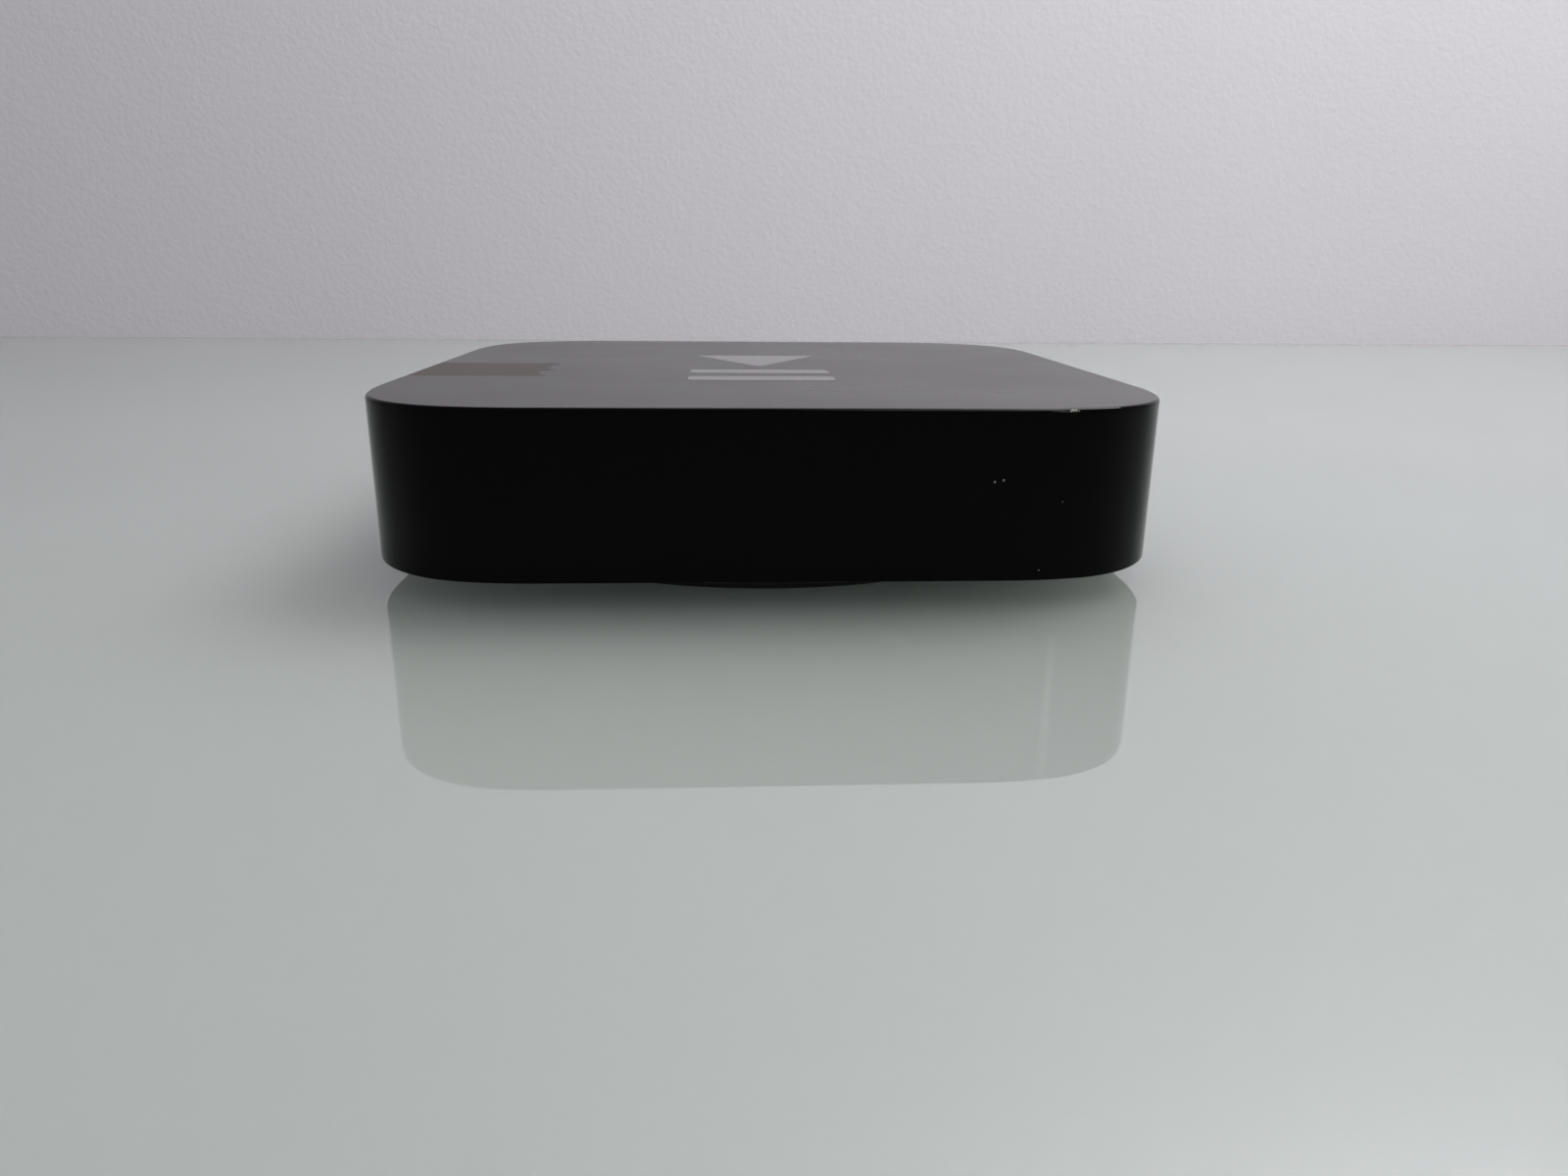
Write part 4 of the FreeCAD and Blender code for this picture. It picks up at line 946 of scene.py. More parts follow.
@dataclass
class Outline:
    """The plan shape of the housing: four sides, and corners of three tangent arcs.

    A gentle arc leads from each side into a tighter one and out again. The points are worked out
    for one quarter as centre plus radius times cosine and sine, and turned by quarter turns for
    the rest.
    """

    half: float
    corner_extent: float = 22.0
    end_radius: float = 40.0
    end_turn: float = math.radians(12.0)
    end_steps: int = 8
    middle_steps: int = 34
    side_steps: int = 14
    deepest_inset: float = 10.0

    def points(self) -> tuple[np.ndarray, np.ndarray]:
        """Points on the outline and their outward normals, anticlockwise from the right."""
        cosine, sine = math.cos(self.end_turn), math.sin(self.end_turn)
        spare = self.corner_extent - self.end_radius * (1 - cosine + sine)
        middle_radius = spare / (cosine - sine)
        shift = self.end_radius - middle_radius
        quarter = math.pi / 2
        first = np.array([self.half - self.end_radius, self.half - self.corner_extent])
        second = first + shift * np.array([cosine, sine])
        third = second - shift * np.array([math.sin(self.end_turn), math.cos(self.end_turn)])
        pieces, normals = [], []
        for centre, radius, start, end, steps in (
            (first, self.end_radius, 0.0, self.end_turn, self.end_steps),
            (second, middle_radius, self.end_turn, quarter - self.end_turn, self.middle_steps),
            (third, self.end_radius, quarter - self.end_turn, quarter, self.end_steps),
        ):
            angles = np.linspace(start, end, steps, endpoint=False)
            unit = np.stack([np.cos(angles), np.sin(angles)], axis=-1)
            pieces.append(centre + radius * unit)
            normals.append(unit)
        side_start = self.half - self.corner_extent
        x = np.linspace(side_start, -side_start, self.side_steps, endpoint=False)
        pieces.append(np.stack([x, np.full_like(x, self.half)], axis=-1))
        normals.append(np.tile([0.0, 1.0], (len(x), 1)))
        points, normal = np.concatenate(pieces), np.concatenate(normals)
        turn = np.array([[0.0, 1.0], [-1.0, 0.0]])
        turns = [np.linalg.matrix_power(turn, k) for k in range(4)]
        return np.concatenate([points @ t for t in turns]), np.concatenate(
            [normal @ t for t in turns]
        )

    def holds(self, places: np.ndarray, inset: float) -> np.ndarray:
        """Whether places in plan lie within the outline less an inset, along their own ray."""
        points, normals = self.points()
        limit = ray_lengths(points - inset * normals, np.arctan2(places[:, 1], places[:, 0]))
        return np.hypot(places[:, 0], places[:, 1]) < limit

    def rings(self, profile: np.ndarray) -> np.ndarray:
        """Rings of points for a profile of inset and height.

        Each point is the outline's point less the inset times its normal. Past the deepest inset
        that the corners allow, the ring is drawn in towards the centre instead.
        """
        points, normals = self.points()
        inset = np.minimum(profile[:, 0], self.deepest_inset)
        flat = points[None] - inset[:, None, None] * normals[None]
        reach = self.half - inset
        scale = (self.half - profile[:, 0]) / reach
        flat = flat * scale[:, None, None]
        height = np.broadcast_to(profile[:, 1, None, None], flat.shape[:2] + (1,))
        return np.concatenate([flat, height], axis=-1)


# The cut on the lower corners of two sockets, in millimetres.
VIDEO_BEVEL, SERVICE_BEVEL = 1.3, 0.8
# Distances from the middle, in millimetres, of the rings that fill a flat top or bottom.
INNER_RINGS = (0.4, 12.0, 30.0)


@dataclass
class Housing:
    """The moulded box: polished sides, a satin top, posts and ribs, and socket openings."""

    wall: float = 2.2
    roof: float = 2.0
    top_edge: float = 0.45
    lower_edge: float = 0.3
    print_depth: float = 0.02
    post_radius: float = 2.3
    bore_radius: float = 0.85
    bore_depth: float = 5.5
    sensor_post_radius: float = 1.8
    sensor_bore_radius: float = 0.6
    soft_edge: float = 0.15
    rim_edge: float = 0.25
    rib_depth: float = 0.8
    rib_half_width: float = 0.5
    rib_offset: float = 13.0
    wall_rib_half_width: float = 0.6
    wall_rib_depth: float = 1.2
    bite: float = 0.6
    mouth_flare: float = 0.22
    mouth_depth: float = 2.6
    gap: float = 0.25
    light_hole_radius: float = 0.6
    window_half: float = 3.0
    window_wall: float = 1.0
    catch_half_width: float = 3.15
    catch_depth: float = 0.7

    def __post_init__(self) -> None:
        """Take the overall size from the CAD housing."""
        self.low, self.high = box_mm("housing")
        self.half = float(self.high[0])
        self.top = float(self.high[2]) - self.print_depth
        self.bottom = float(self.low[2])
        self.ceiling = float(self.high[2]) - self.roof
        self.inner = self.half - self.wall
        self.outline = Outline(self.half)

    def shell(self) -> Solid:
        """Outer and inner surfaces as one closed profile carried round the outline.

        From the middle of the top the profile runs out flat, round the top edge, down the side,
        round the lower edge, in across the rim, up the inner wall and back along the ceiling.
        """
        edge, low, soft = self.top_edge, self.lower_edge, self.rim_edge
        rows = [np.array([[self.half - d, self.top] for d in INNER_RINGS])]
        rows.append(np.array([[6.0, self.top], [edge + 0.5, self.top]]))
        rows.append(fillet((edge, self.top - edge), -edge, 270, 360, 8))
        heights = (self.top - edge - 0.5, 16.0, 12.0, 8.0, self.bottom + low + 0.4)
        rows.append(np.array([[0.0, z] for z in heights]))
        rows.append(fillet((low, self.bottom + low), -low, 0, 90, 5))
        rows.append(np.array([[self.wall - soft, self.bottom]]))
        heights = (self.bottom + soft, 8.0, self.ceiling - 0.6)
        rows.append(np.array([[self.wall, z] for z in heights]))
        rows.append(
            np.array([[self.wall + 0.2, self.ceiling - 0.15], [self.wall + 0.6, self.ceiling]])
        )
        rows.append(np.array([[self.half - d, self.ceiling] for d in INNER_RINGS[::-1]]))
        return capped(self.outline.rings(np.concatenate(rows)))

    def post(self, x: float, y: float, base: float) -> tuple[Solid, Solid]:
        """A round screw post that hangs from the ceiling, and its bore."""
        r, top = self.post_radius, self.ceiling + self.roof / 2
        soft = self.soft_edge
        body = lathe(np.array([(r - soft, base), (r, base + soft), (r, top)]), (x, y, 0), 2, 40)
        mouth = self.bore_radius + 0.2
        bore = np.array(
            [
                (mouth, base - 1),
                (mouth, base),
                (self.bore_radius, base + 0.2),
                (self.bore_radius, base + self.bore_depth),
            ]
        )
        return body, lathe(bore, (x, y, 0), 2, 28)

    def posts(self) -> tuple[list[Solid], list[Solid]]:
        """The posts for both boards, placed from the boards' edges, and their bores."""
        logic_low, logic_high = box_mm("logic_board")
        power_low, power_high = box_mm("power_board")
        left, front, right, rear = logic_low[0], logic_low[1], logic_high[0], logic_high[1]
        logic = [(left + 6.5, rear - 7.5), (left + 5.5, front + 9.0), (-4.0, front + 6.0)]
        logic += [(right - 4.2, 14.0), (left + 5.0, 6.0)]
        p_left, p_front, p_right = power_low[0], power_low[1], power_high[0]
        power = [
            (p_left + 16.0, p_front + 4.5),
            (p_right - 2.8, 17.5),
            (p_left + 2.8, 19.0),
            (p_right - 2.8, -17.0),
        ]
        made = [self.post(x, y, logic_high[2]) for x, y in logic]
        made += [self.post(x, y, power_high[2]) for x, y in power]
        return [body for body, _ in made], [bore for _, bore in made]

    def sensor_mounts(self) -> tuple[list[Solid], list[Solid]]:
        """Two short posts from the front wall to the sensor board, and their bores."""
        low, high = box_mm("sensor_board")
        middle = (low[0] + high[0]) / 2
        bodies, bores = [], []
        for x, z in ((middle - 0.2, low[2] + 6.6), (middle + 6.7, low[2] + 4.0)):
            r = self.sensor_post_radius
            start = -self.half + self.wall / 2
            side = np.array(
                [(r, start), (r, low[1] - self.soft_edge), (r - self.soft_edge, low[1])]
            )
            bodies.append(lathe(side, (x, 0, z), 1, 32))
            r = self.sensor_bore_radius
            bores.append(lathe(np.array([(r, low[1] - 5.0), (r, low[1] + 1)]), (x, 0, z), 1, 24))
        return bodies, bores

    def ribs(self) -> list[Solid]:
        """Four stiffening ribs under the ceiling, and wall ribs that stop the base cover.

        Each reaches into the ceiling and the wall by the bite, so that the join is whole.
        """
        low, long, wide = self.ceiling - self.rib_depth, self.inner + self.bite, self.rib_half_width
        high = self.ceiling + self.bite
        made = []
        for side in (-self.rib_offset, self.rib_offset):
            made.append(block((side - wide, -long, low), (side + wide, long, high)))
            made.append(block((-long, side - wide, low), (long, side + wide, high)))
        seat = box_mm("power_insulator")[0][2]
        shield, optical = box_mm("network_shield"), box_mm("optical_body")
        video, inlet = box_mm("video_shell"), box_mm("inlet_body")
        rear = [(shield[1][0] + optical[0][0]) / 2, (video[1][0] + inlet[0][0]) / 2]
        places = [(q, o) for q in (1, 3) for o in (-10.0, 10.0)] + [(2, 2.0), (2, -10.0)] + [
            (0, x) for x in rear
        ]
        wide, near = self.wall_rib_half_width, self.inner - self.wall_rib_depth
        for quarter, offset in places:
            rib = block((offset - wide, near, seat), (offset + wide, long, high))
            made.append(rib.moved(Matrix.Rotation(quarter * math.pi / 2, 4, "Z")))
        return made

    def openings(self) -> list[Solid]:
        """Cutters for the sockets, each flaring at the wall's face like a moulded radius.

        The margin at a depth d below the face is the flare times one less the root of one less
        the square of one less d over the flare, which is a quarter circle.
        """
        sections = []
        for node, corner in (("network_shield", 0.6), ("optical_body", 0.6)):
            low, high = box_mm(node)
            section = rectangle(low[0], high[0], low[2], high[2])
            sections.append(rounded_polygon(grown(section, self.gap), corner))
        for node, bevel in (("video_shell", VIDEO_BEVEL), ("service_shell", SERVICE_BEVEL)):
            low, high = box_mm(node)
            section = bevelled(low[0], high[0], low[2], high[2], bevel)
            sections.append(rounded_polygon(grown(section, self.gap), 0.5))
        sections.append(grown(MainsInlet().collar(), self.gap))
        flare = self.mouth_flare
        steps = np.linspace(0, 90, 5)
        depth = self.half - flare * np.cos(np.radians(steps))
        margin = flare * (1 - np.sqrt(np.maximum(0, 1 - (1 - (self.half - depth) / flare) ** 2)))
        rows = [(self.inner - self.mouth_depth, 0.0)] + list(zip(depth.tolist(), margin.tolist()))
        rows.append((self.half + 1.0, rows[-1][1]))
        cutters = []
        for section in sections:
            rings = [np.insert(grown(section, m), 1, y, axis=1) for y, m in rows]
            cutters.append(capped(np.array(rings)))
        return cutters

    def small_cuts(self) -> list[Solid]:
        """The light pipe's hole, the receiver's thin patch and the catches for the hooks."""
        low, high = box_mm("light_pipe")
        x, z = (low[0] + high[0]) / 2, (low[2] + high[2]) / 2
        r = self.light_hole_radius
        hole = np.array([(r, -self.half + 3), (r, -self.half + 0.1), (r + 0.1, -self.half - 1)])
        cuts = [lathe(hole, (x, 0, z), 1, 32)]
        low, high = box_mm("infrared_receiver")
        x, z = (low[0] + high[0]) / 2, (low[2] + high[2]) / 2
        w, front = self.window_half, -self.half + self.window_wall
        cuts.append(block((x - w, front, z - w), (x + w, -self.inner + 0.01, z + w)))
        cover = BaseCover()
        z0, z1 = cover.hook_top - 1.85, cover.hook_top + 0.15
        wide, far = self.catch_half_width, self.inner + self.catch_depth
        for quarter, offset in cover.hook_places():
            pocket = block((offset - wide, self.inner - 1, z0), (offset + wide, far, z1))
            cuts.append(pocket.moved(Matrix.Rotation(quarter * math.pi / 2, 4, "Z")))
        return cuts

    def build(self) -> None:
        """Make the housing, give each face its finish by where it lies, and place it."""
        posts, bores = self.posts()
        mounts, mount_bores = self.sensor_mounts()
        cuts = bores + mount_bores + self.openings() + self.small_cuts()
        mesh = carved([self.shell()], posts + mounts + self.ribs(), cuts, "housing_shell")
        count = len(mesh.polygons)
        centre, normal = np.zeros(count * 3), np.zeros(count * 3)
        mesh.polygons.foreach_get("center", centre)
        mesh.polygons.foreach_get("normal", normal)
        centre, normal = centre.reshape(-1, 3) / MM, normal.reshape(-1, 3)
        satin = (centre[:, 2] > self.top - 0.01) & (normal[:, 2] > 0.9)
        inside = self.outline.holds(centre[:, :2], self.wall - 0.05) & (
            centre[:, 2] < self.ceiling + 0.01
        )
        number = np.where(satin, 1, np.where(inside, 2, 0)).astype(np.int32)
        finishes = [POLISHED_ABS, SATIN_ABS, MOULDED_ABS]
        piece = place_piece(
            mesh, "housing_shell", finishes, PLAYER, ("housing",)
        )
        piece.data.polygons.foreach_set("material_index", number)


@dataclass
class BaseCover:
    """The snap-in cover: a plate with a round plinth below, a pocket inside, and hooks above."""

    gap: float = 0.15
    wall: float = 2.2
    thickness: float = 1.6
    plinth_wall: float = 1.5
    hook_width: float = 6.0
    hook_thickness: float = 1.1
    hook_height: float = 4.2
    hook_root: float = 0.5
    barb: float = 0.45
    lug_height: float = 1.7
    soft_edge: float = 0.2
    plinth_edge: float = 0.4
    seat_gap: float = 0.1
    seat_wall: float = 1.6

    def __post_init__(self) -> None:
        """Take heights and radii from the CAD parts round it."""
        self.plate_low = float(box_mm("housing")[0][2]) + 0.2
        self.plate_top = self.plate_low + self.thickness
        self.hook_top = self.plate_top + self.hook_height
        self.edge = float(box_mm("housing")[1][0]) - self.wall - self.gap
        self.foot_radius = float(box_mm("foot_pad")[1][0])
        self.seat_top = float(box_mm("foot_pad")[1][2])
        self.base = float(box_mm("base_cover")[0][2])

    def hook_places(self) -> list[tuple[int, float]]:
        """Quarter turn from the rear, and offset along the wall, of each hook."""
        sides = [(quarter, offset) for quarter in (1, 3) for offset in (-20.0, 0.0, 20.0)]
        return sides + [(2, -22.0), (2, 22.0)]

    def plate(self) -> Solid:
        """Plate, plinth, seat and pocket as one profile of rings, from circles to the outline."""
        outline = Outline(self.edge + self.wall + self.gap)
        points, normals = outline.points()
        edge = points - (self.wall + self.gap) * normals
        angle = np.arctan2(edge[:, 1], edge[:, 0])
        circle = np.stack([np.cos(angle), np.sin(angle)], axis=-1)
        soft, round_edge = self.soft_edge, self.plinth_edge
        seat = self.foot_radius + self.seat_gap
        plinth = seat + self.seat_wall
        pocket = plinth - self.plinth_wall
        floor = self.seat_top + self.plinth_wall
        inset = points - (self.wall + self.gap + soft) * normals

        def ring(shape: np.ndarray, height: float) -> np.ndarray:
            """A flat shape at one height."""
            return np.concatenate([shape, np.full((len(shape), 1), height)], axis=1)

        rings = [ring(circle * r, floor) for r in (0.4, 14.0, 28.0, pocket - round_edge)]
        rings += [ring(circle * pocket, z) for z in (floor + round_edge, self.plate_top)]
        rings += [ring(inset, self.plate_top), ring(edge, self.plate_top - soft)]
        rings += [ring(edge, self.plate_low + soft), ring(inset, self.plate_low)]
        hollow = ((0.35, 0.0), (0.1, -0.1), (0.0, -0.35))
        rings += [ring(circle * (plinth + d), self.plate_low + z) for d, z in hollow]
        corner = (plinth - round_edge, self.base + round_edge)
        rings += [ring(circle * r, z) for r, z in fillet(corner, round_edge, 0, -90, 6)]
        rings += [ring(circle * (seat + d), self.base + z) for d, z in ((0.15, 0.0), (0.0, 0.15))]
        rings += [ring(circle * r, self.seat_top) for r in (seat, 28.0, 14.0, 0.4)]
        return capped(np.array(rings))

    def hook(self) -> Solid:
        """A hook at the rear, in side view: a straight leg with a barb at its top."""
        outer = self.edge
        low = self.plate_top - self.hook_root
        barb_low = self.hook_top - 1.7
        side = [(outer - self.hook_thickness, low), (outer, low), (outer, barb_low)]
        side += [(outer + self.barb, barb_low + 0.3), (outer + self.barb, barb_low + 0.7)]
        side += [(outer, self.hook_top), (outer - self.hook_thickness, self.hook_top)]
        return prism(np.array(side), -self.hook_width / 2, self.hook_width / 2, 0)

    def build(self) -> None:
        """Make the cover with its hooks and the two plain lugs under the sockets."""
        solids = [self.plate()]
        for quarter, offset in self.hook_places():
            turn = Matrix.Rotation(quarter * math.pi / 2, 4, "Z")
            solids.append(self.hook().moved(turn @ Matrix.Translation((offset, 0, 0))))
        for node in ("optical_body", "video_shell"):
            low, high = box_mm(node)
            x = (low[0] + high[0]) / 2
            wide = self.hook_width / 2
            inner = self.edge - self.hook_thickness
            root, top = self.plate_top - self.hook_root, self.plate_top + self.lug_height
            solids.append(block((x - wide, inner, root), (x + wide, self.edge, top)))
        mesh = carved(solids[:1], solids[1:], [], "base_plate")
        place_piece(
            mesh, "base_plate", [TEXTURED_PC], PLAYER, ("base_cover",)
        )


@dataclass
class Foot:
    """The round rubber foot: a disc with a soft lower edge and one groove near its rim.

    The groove is given by how far in from the rim it starts and ends, and its depth.
    """

    edge: float = 0.5
    upper_edge: float = 0.1
    groove: tuple[float, float, float] = (3.0, 3.8, 0.3)

    def build(self) -> None:
        """Turn the disc's profile about the vertical axis."""
        low, high = box_mm("foot_pad")
        radius, top = float(high[0]), float(high[2])
        near, far, depth = self.groove
        soft = self.upper_edge
        rows = [np.array([(r, top) for r in (0.4, 20.0, radius - soft)] + [(radius, top - soft)])]
        rows.append(fillet((radius - self.edge, self.edge), self.edge, 0, -90, 8))
        rows.append(
            np.array(
                [(radius - near, 0), (radius - near - 0.1, depth), (radius - far + 0.1, depth)]
            )
        )
        rows.append(np.array([(radius - far, 0)] + [(r, 0) for r in (28.0, 14.0, 0.4)]))
        mesh = mesh_from([lathe(np.concatenate(rows), (0, 0, 0), 2, 288)], "foot_disc")
        place_piece(mesh, "foot_disc", [SILICONE], PLAYER, ("foot_pad",))


@dataclass
class TopMark:
    """A generic printed mark: the usual sign for play and pause, a triangle followed by two bars.

    The sizes are the triangle's base and tip, half of the mark's height, where the bars start,
    and their width.
    """

    base_x: float = -17.0
    tip_x: float = 2.0
    half_height: float = 10.0
    middle_y: float = -0.4
    bar_starts: tuple[float, ...] = (6.6, 15.8)
    bar_width: float = 5.0
    corner_radius: float = 0.9
    depth: float = 0.02

    def build(self) -> None:
        """Lay the triangle and the bars on the top, to end level with the CAD housing's top."""
        low, high = self.middle_y - self.half_height, self.middle_y + self.half_height
        shapes = [np.array([(self.base_x, low), (self.tip_x, self.middle_y), (self.base_x, high)])]
        shapes += [rectangle(x, x + self.bar_width, low, high) for x in self.bar_starts]
        top = float(box_mm("housing")[1][2])
        solids = [
            prism(rounded_polygon(s, self.corner_radius, 10), top - self.depth, top, 2)
            for s in shapes
        ]
        mesh = mesh_from(solids, "printed_mark")
        place_piece(mesh, "printed_mark", [PRINTED_INK], PLAYER)


# ---- sockets -----------------------------------------------------------------------------------
@dataclass
class MainsInlet:
    """The figure-of-eight mains inlet. Its CAD body and pins keep their shape."""

    spacing: float = 6.6
    lobe: float = 3.8
    waist: float = 6.0
    wall: float = 0.7
    height: float = 9.6

    def collar(self, count: int = 96) -> np.ndarray:
        """The collar's outline: the furthest reach of two circles and the waist between.

        A ray at angle a leaves a circle of radius R, whose centre is o to one side, at o |cos a|
        plus the root of R squared less the square of o sin a, and it leaves the waist at its half
        height divided by |sin a|, as long as that is between the two centres.
        """
        low, high = box_mm("inlet_pins")
        middle_x = (low[0] + high[0]) / 2
        middle_z = box_mm("inlet_body")[1][2] - self.height / 2
        offset, radius = self.spacing / 2, self.lobe + self.wall
        angle = np.linspace(0, 2 * math.pi, count, endpoint=False) + math.pi / count
        cosine, sine = np.abs(np.cos(angle)), np.abs(np.sin(angle))
        circle = offset * cosine + np.sqrt(radius**2 - (offset * sine) ** 2)
        straight = (self.waist / 2 + self.wall) / sine
        straight = np.where(straight * cosine <= offset, straight, 0.0)
        reach = np.maximum(circle, straight)
        return np.stack(
            [middle_x + reach * np.cos(angle), middle_z + reach * np.sin(angle)], axis=-1
        )

    def build(self) -> None:
        """Dress the inlet's body and its pins."""
        dress({"inlet_body": NYLON_BLACK, "inlet_pins": PLATED_BRASS})


@dataclass
class PressedShell:
    """A socket's pressed-metal shell: a bevelled tube with rolled lips.

    The fields are the CAD node it stands for, the new piece's name, the cut on its lower corners
    and the sheet's thickness, then the corners' radius and the lengths of the first and last
    stretch.
    """

    node: str
    name: str
    bevel: float
    sheet: float
    corner_radius: float = 0.55
    mouth_length: float = 1.4
    rear_length: float = 0.3

    def build(self) -> None:
        """Carry the bevelled section back from the mouth, outside and inside.

        The lip is half a circle: lip times sine forwards and lip times cosine across the sheet.
        """
        low, high = box_mm(self.node)
        corners = bevelled(low[0], high[0], low[2], high[2], self.bevel)
        outer = rounded_polygon(corners, self.corner_radius, 6)
        rear, mouth = low[1], high[1]
        second, near = rear + self.rear_length, mouth - self.mouth_length
        rows = [(rear, 0.0), (second, 0.0), (near, 0.0)]
        lip = self.sheet / 2
        for angle in np.radians(np.linspace(0, 180, 9)):
            rows.append((mouth - lip + lip * math.sin(angle), -lip + lip * math.cos(angle)))
        rows += [(y, -self.sheet) for y in (near, second, rear)]
        shell = looped(np.array([np.insert(grown(outer, m), 1, y, axis=1) for y, m in rows]))
        mesh = mesh_from([shell], self.name)
        place_piece(mesh, self.name, [PLATED_STEEL], PLAYER, (self.node,))


@dataclass
class Sockets:
    """Everything that a plug meets at the rear."""

    def build(self) -> None:
        """Make the pressed shells and dress the moulded parts and contacts."""
        MainsInlet().build()
        PressedShell("video_shell", "video_socket_shell", VIDEO_BEVEL, 0.35).build()
        PressedShell("service_shell", "service_socket_shell", SERVICE_BEVEL, 0.25).build()
        dress(
            {
                "video_insulator": NYLON_BLACK,
                "video_contacts": PLATED_GOLD,
                "service_insulator": NYLON_BLACK,
                "service_contacts": PLATED_GOLD,
                "optical_body": NYLON_BLACK,
                "optical_emitter": FILTER,
                "optical_shutter": NYLON_BLACK,
                "shutter_pin": SPRING_STEEL,
                "shutter_spring": SPRING_STEEL,
                "network_body": NYLON_BLACK,
                "network_shield": PLATED_STEEL,
                "network_contacts": PLATED_GOLD,
            }
        )


@dataclass
class Inside:
    """Boards, power supply and sensor group, which keep their CAD shapes."""

    def build(self) -> None:
        """Dress every inner part."""
        dress(
            {
                "logic_board": LOGIC_LAMINATE,
                "processor": EPOXY,
                "processor_can": PLATED_STEEL,
                "thermal_pad": THERMAL_SILICONE,
                "heat_spreader": ROLLED_ALUMINIUM,
                "memory_chips": EPOXY,
                "network_transformer": EPOXY,
                "small_parts": CERAMIC,
                "radio_module": LOGIC_LAMINATE,
                "radio_can": PLATED_STEEL,
                "antenna": ETCHED_COPPER,
                "antenna_cable": PVC_BLACK,
                "antenna_plug": PLATED_GOLD,
            }
        )
        dress(
            {
                "power_board": POWER_LAMINATE,
                "power_insulator": FILM,
                "transformer_core": FERRITE,
                "transformer_winding": TAPE,
                "bulk_capacitors": SLEEVE,
                "output_capacitors": SLEEVE,
                "mains_choke": WIRE_TURNS,
                "mains_parts": DIPPED,
                "output_choke": WIRE_TURNS,
                "power_headers": NYLON_NATURAL,
                "power_lead": PVC_RED,
            }
        )
        dress(
            {
                "sensor_board": POWER_LAMINATE,
                "infrared_receiver": FILTER,
                "status_light": LAMP,
                "light_pipe": ACRYLIC,
                "signal_headers": NYLON_NATURAL,
                "sensor_lead": PVC_BLACK,
                "board_screws": ZINC_STEEL,
                "spreader_screws": ZINC_STEEL,
                "sensor_screws": ZINC_STEEL,
            }
        )


# ---- studio ------------------------------------------------------------------------------------
# How much nearer the highlight's lamp hangs, in metres, so that the two don't coincide.
HIGHLIGHT_STEP = 0.004


@dataclass(frozen=True)
class Lamp:
    """A soft light: its place, target, width, power and height, in metres and watts.

    It is hung twice: once as light on everything but with no reflection, and once as a highlight
    on the object alone, so that the polished table shows no bright shapes. A strip is only hung
    as a highlight.
    """

    name: str
    place: tuple[float, float, float]
    target: tuple[float, float, float]
    width: float
    power: float
    height: float = 0.0
    highlight_only: bool = False

    def build(self, shown: bpy.types.Collection) -> None:
        """Hang the light, as light and as highlight.

        Args:
            shown: the collection of pieces that take its highlight.
        """
        if not self.highlight_only:
            self.hang("light").visible_glossy = False
        highlight = self.hang("highlight", nearer=HIGHLIGHT_STEP)
        highlight.visible_diffuse = False
        highlight.light_linking.receiver_collection = shown

    def hang(self, use: str, nearer: float = 0.0) -> bpy.types.Object:
        """One lamp at its place or a little nearer to its target, and pointing at it."""
        data = bpy.data.lights.new(f"{self.name}_{use}", "AREA")
        data.shape = "RECTANGLE"
        data.size = self.width
        data.size_y = self.height or self.width
        data.energy = self.power
        lamp = bpy.data.objects.new(data.name, data)
        aim = Vector(self.target) - Vector(self.place)
        lamp.rotation_euler = aim.to_track_quat("-Z", "Y").to_euler()
        lamp.location = Vector(self.place) + aim.normalized() * nearer
        bpy.context.scene.collection.objects.link(lamp)
        return lamp


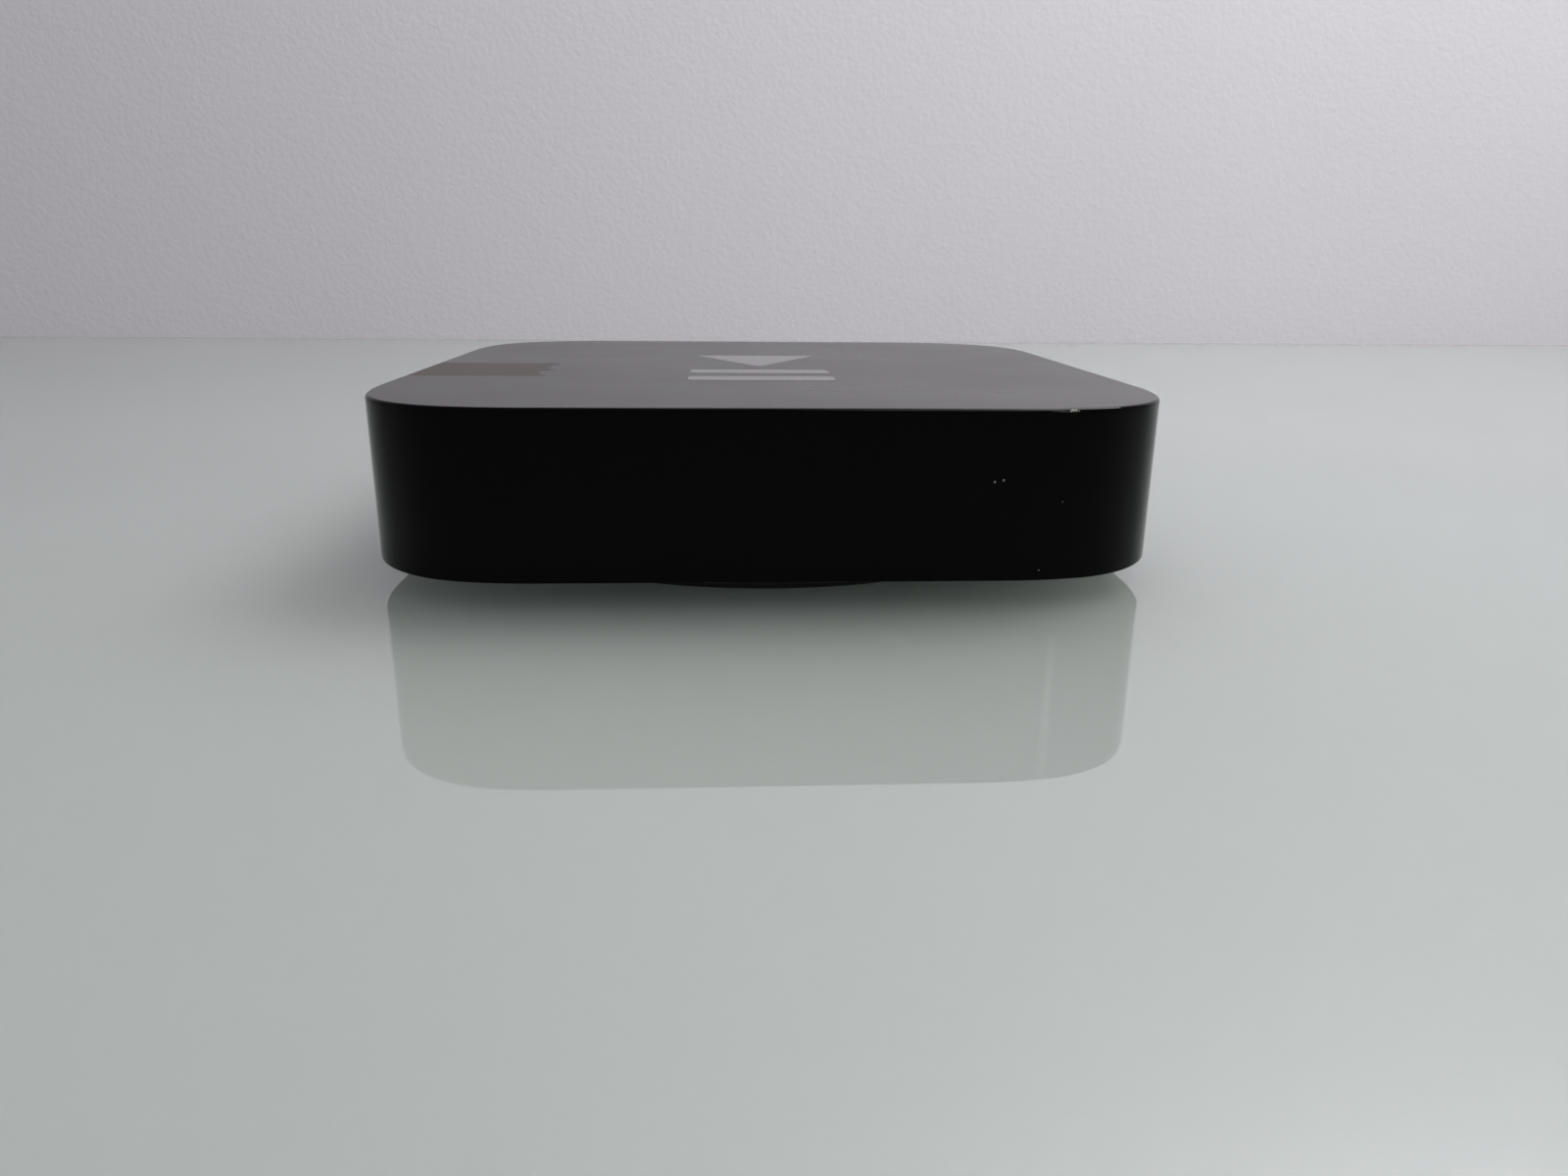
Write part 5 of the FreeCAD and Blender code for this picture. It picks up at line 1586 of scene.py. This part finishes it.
@dataclass
class Studio:
    """A pale glossy table, a pale wall behind, soft light and the camera."""

    wall_x: float = -0.371
    wall_half_width: float = 2.2
    wall_height: float = 1.4
    air_colour: str = "e8e6e9"
    air_strength: float = 0.37
    floor_half: float = 2.2
    camera_place: tuple[float, float, float] = (0.16557, -0.00514, 0.03855)
    camera_yaw: float = 0.0548
    camera_pitch: float = 0.2996
    camera_roll: float = 0.0098
    lens: float = 24.44

    def build(self) -> None:
        """Set up the surroundings."""
        scene = bpy.context.scene
        scene.view_settings.view_transform = "Standard"
        self.surface_piece("table", self.table_mesh(), TABLE_GLASS)
        self.surface_piece("wall", self.wall_mesh(), WALL_PAINT)
        shown = bpy.data.collections.new("takes_highlights")
        for thing in bpy.data.objects:
            if thing.type == "MESH" and thing.name not in ("table", "wall"):
                shown.objects.link(thing)
        for lamp in LAMPS:
            lamp.build(shown)
        self.world()
        self.camera()

    def surface_piece(self, name: str, points: list, finish: Finish) -> None:
        """A flat sheet of the surroundings."""
        mesh = bpy.data.meshes.new(name)
        mesh.from_pydata(points, [], [(0, 1, 2, 3)])
        mesh.materials.append(finish.material())
        sheet = bpy.data.objects.new(name, mesh)
        bpy.context.scene.collection.objects.link(sheet)

    def table_mesh(self) -> list:
        """Corners of the table top."""
        far = self.floor_half
        return [(-far, -far, 0), (far, -far, 0), (far, far, 0), (-far, far, 0)]

    def wall_mesh(self) -> list:
        """Corners of the wall, which faces the object."""
        x, wide, high = self.wall_x, self.wall_half_width, self.wall_height
        return [(x, -wide, 0), (x, wide, 0), (x, wide, high), (x, -wide, high)]

    def world(self) -> None:
        """Even pale light from all round."""
        world = bpy.data.worlds.new("studio_air")
        world.use_nodes = True
        background = world.node_tree.nodes["Background"]
        background.inputs["Color"].default_value = linear(self.air_colour)
        background.inputs["Strength"].default_value = self.air_strength
        bpy.context.scene.world = world

    def camera(self) -> None:
        """The camera, from its place, its turn to the left, its downward tilt and its roll."""
        data = bpy.data.cameras.new("camera")
        data.lens = self.lens
        data.clip_start = 0.005
        camera = bpy.data.objects.new("camera", data)
        yaw, pitch = self.camera_yaw, self.camera_pitch
        right = Vector((math.sin(yaw), math.cos(yaw), 0))
        forward = Vector(
            (-math.cos(yaw) * math.cos(pitch), math.sin(yaw) * math.cos(pitch), -math.sin(pitch))
        )
        up = right.cross(forward)
        turn = Matrix((right, up, -forward)).transposed() @ Matrix.Rotation(
            self.camera_roll, 3, "Z"
        )
        camera.matrix_world = Matrix.Translation(self.camera_place) @ turn.to_4x4()
        bpy.context.scene.collection.objects.link(camera)
        bpy.context.scene.camera = camera


LAMPS = (
    Lamp("softbox_rear_right", (-0.18, 0.45, 0.75), (0.02, 0.1, 0.0), 0.45, 8.1),
    Lamp("softbox_rear", (-0.2, 0.1, 0.75), (0.02, 0.0, 0.0), 0.4, 0.8),
    Lamp("softbox_wall", (0.35, 0.3, 0.95), (-0.37, 0.08, 0.36), 0.4, 3.2),
    Lamp(
        "strip_front_right",
        (1.0, 0.72, 0.66),
        (0.0, 0.0, 0.01),
        0.07,
        2.0,
        height=0.46,
        highlight_only=True,
    ),
)


def main() -> None:
    """Build the object from the outside in, then its surroundings."""
    logging.basicConfig(level=logging.INFO, format="%(name)s: %(message)s")
    for part in (Housing(), BaseCover(), Foot(), TopMark(), Sockets(), Inside()):
        part.build()
        log.info("%s done", type(part).__name__)
    Studio().build()


if __name__ == "__main__":
    main()
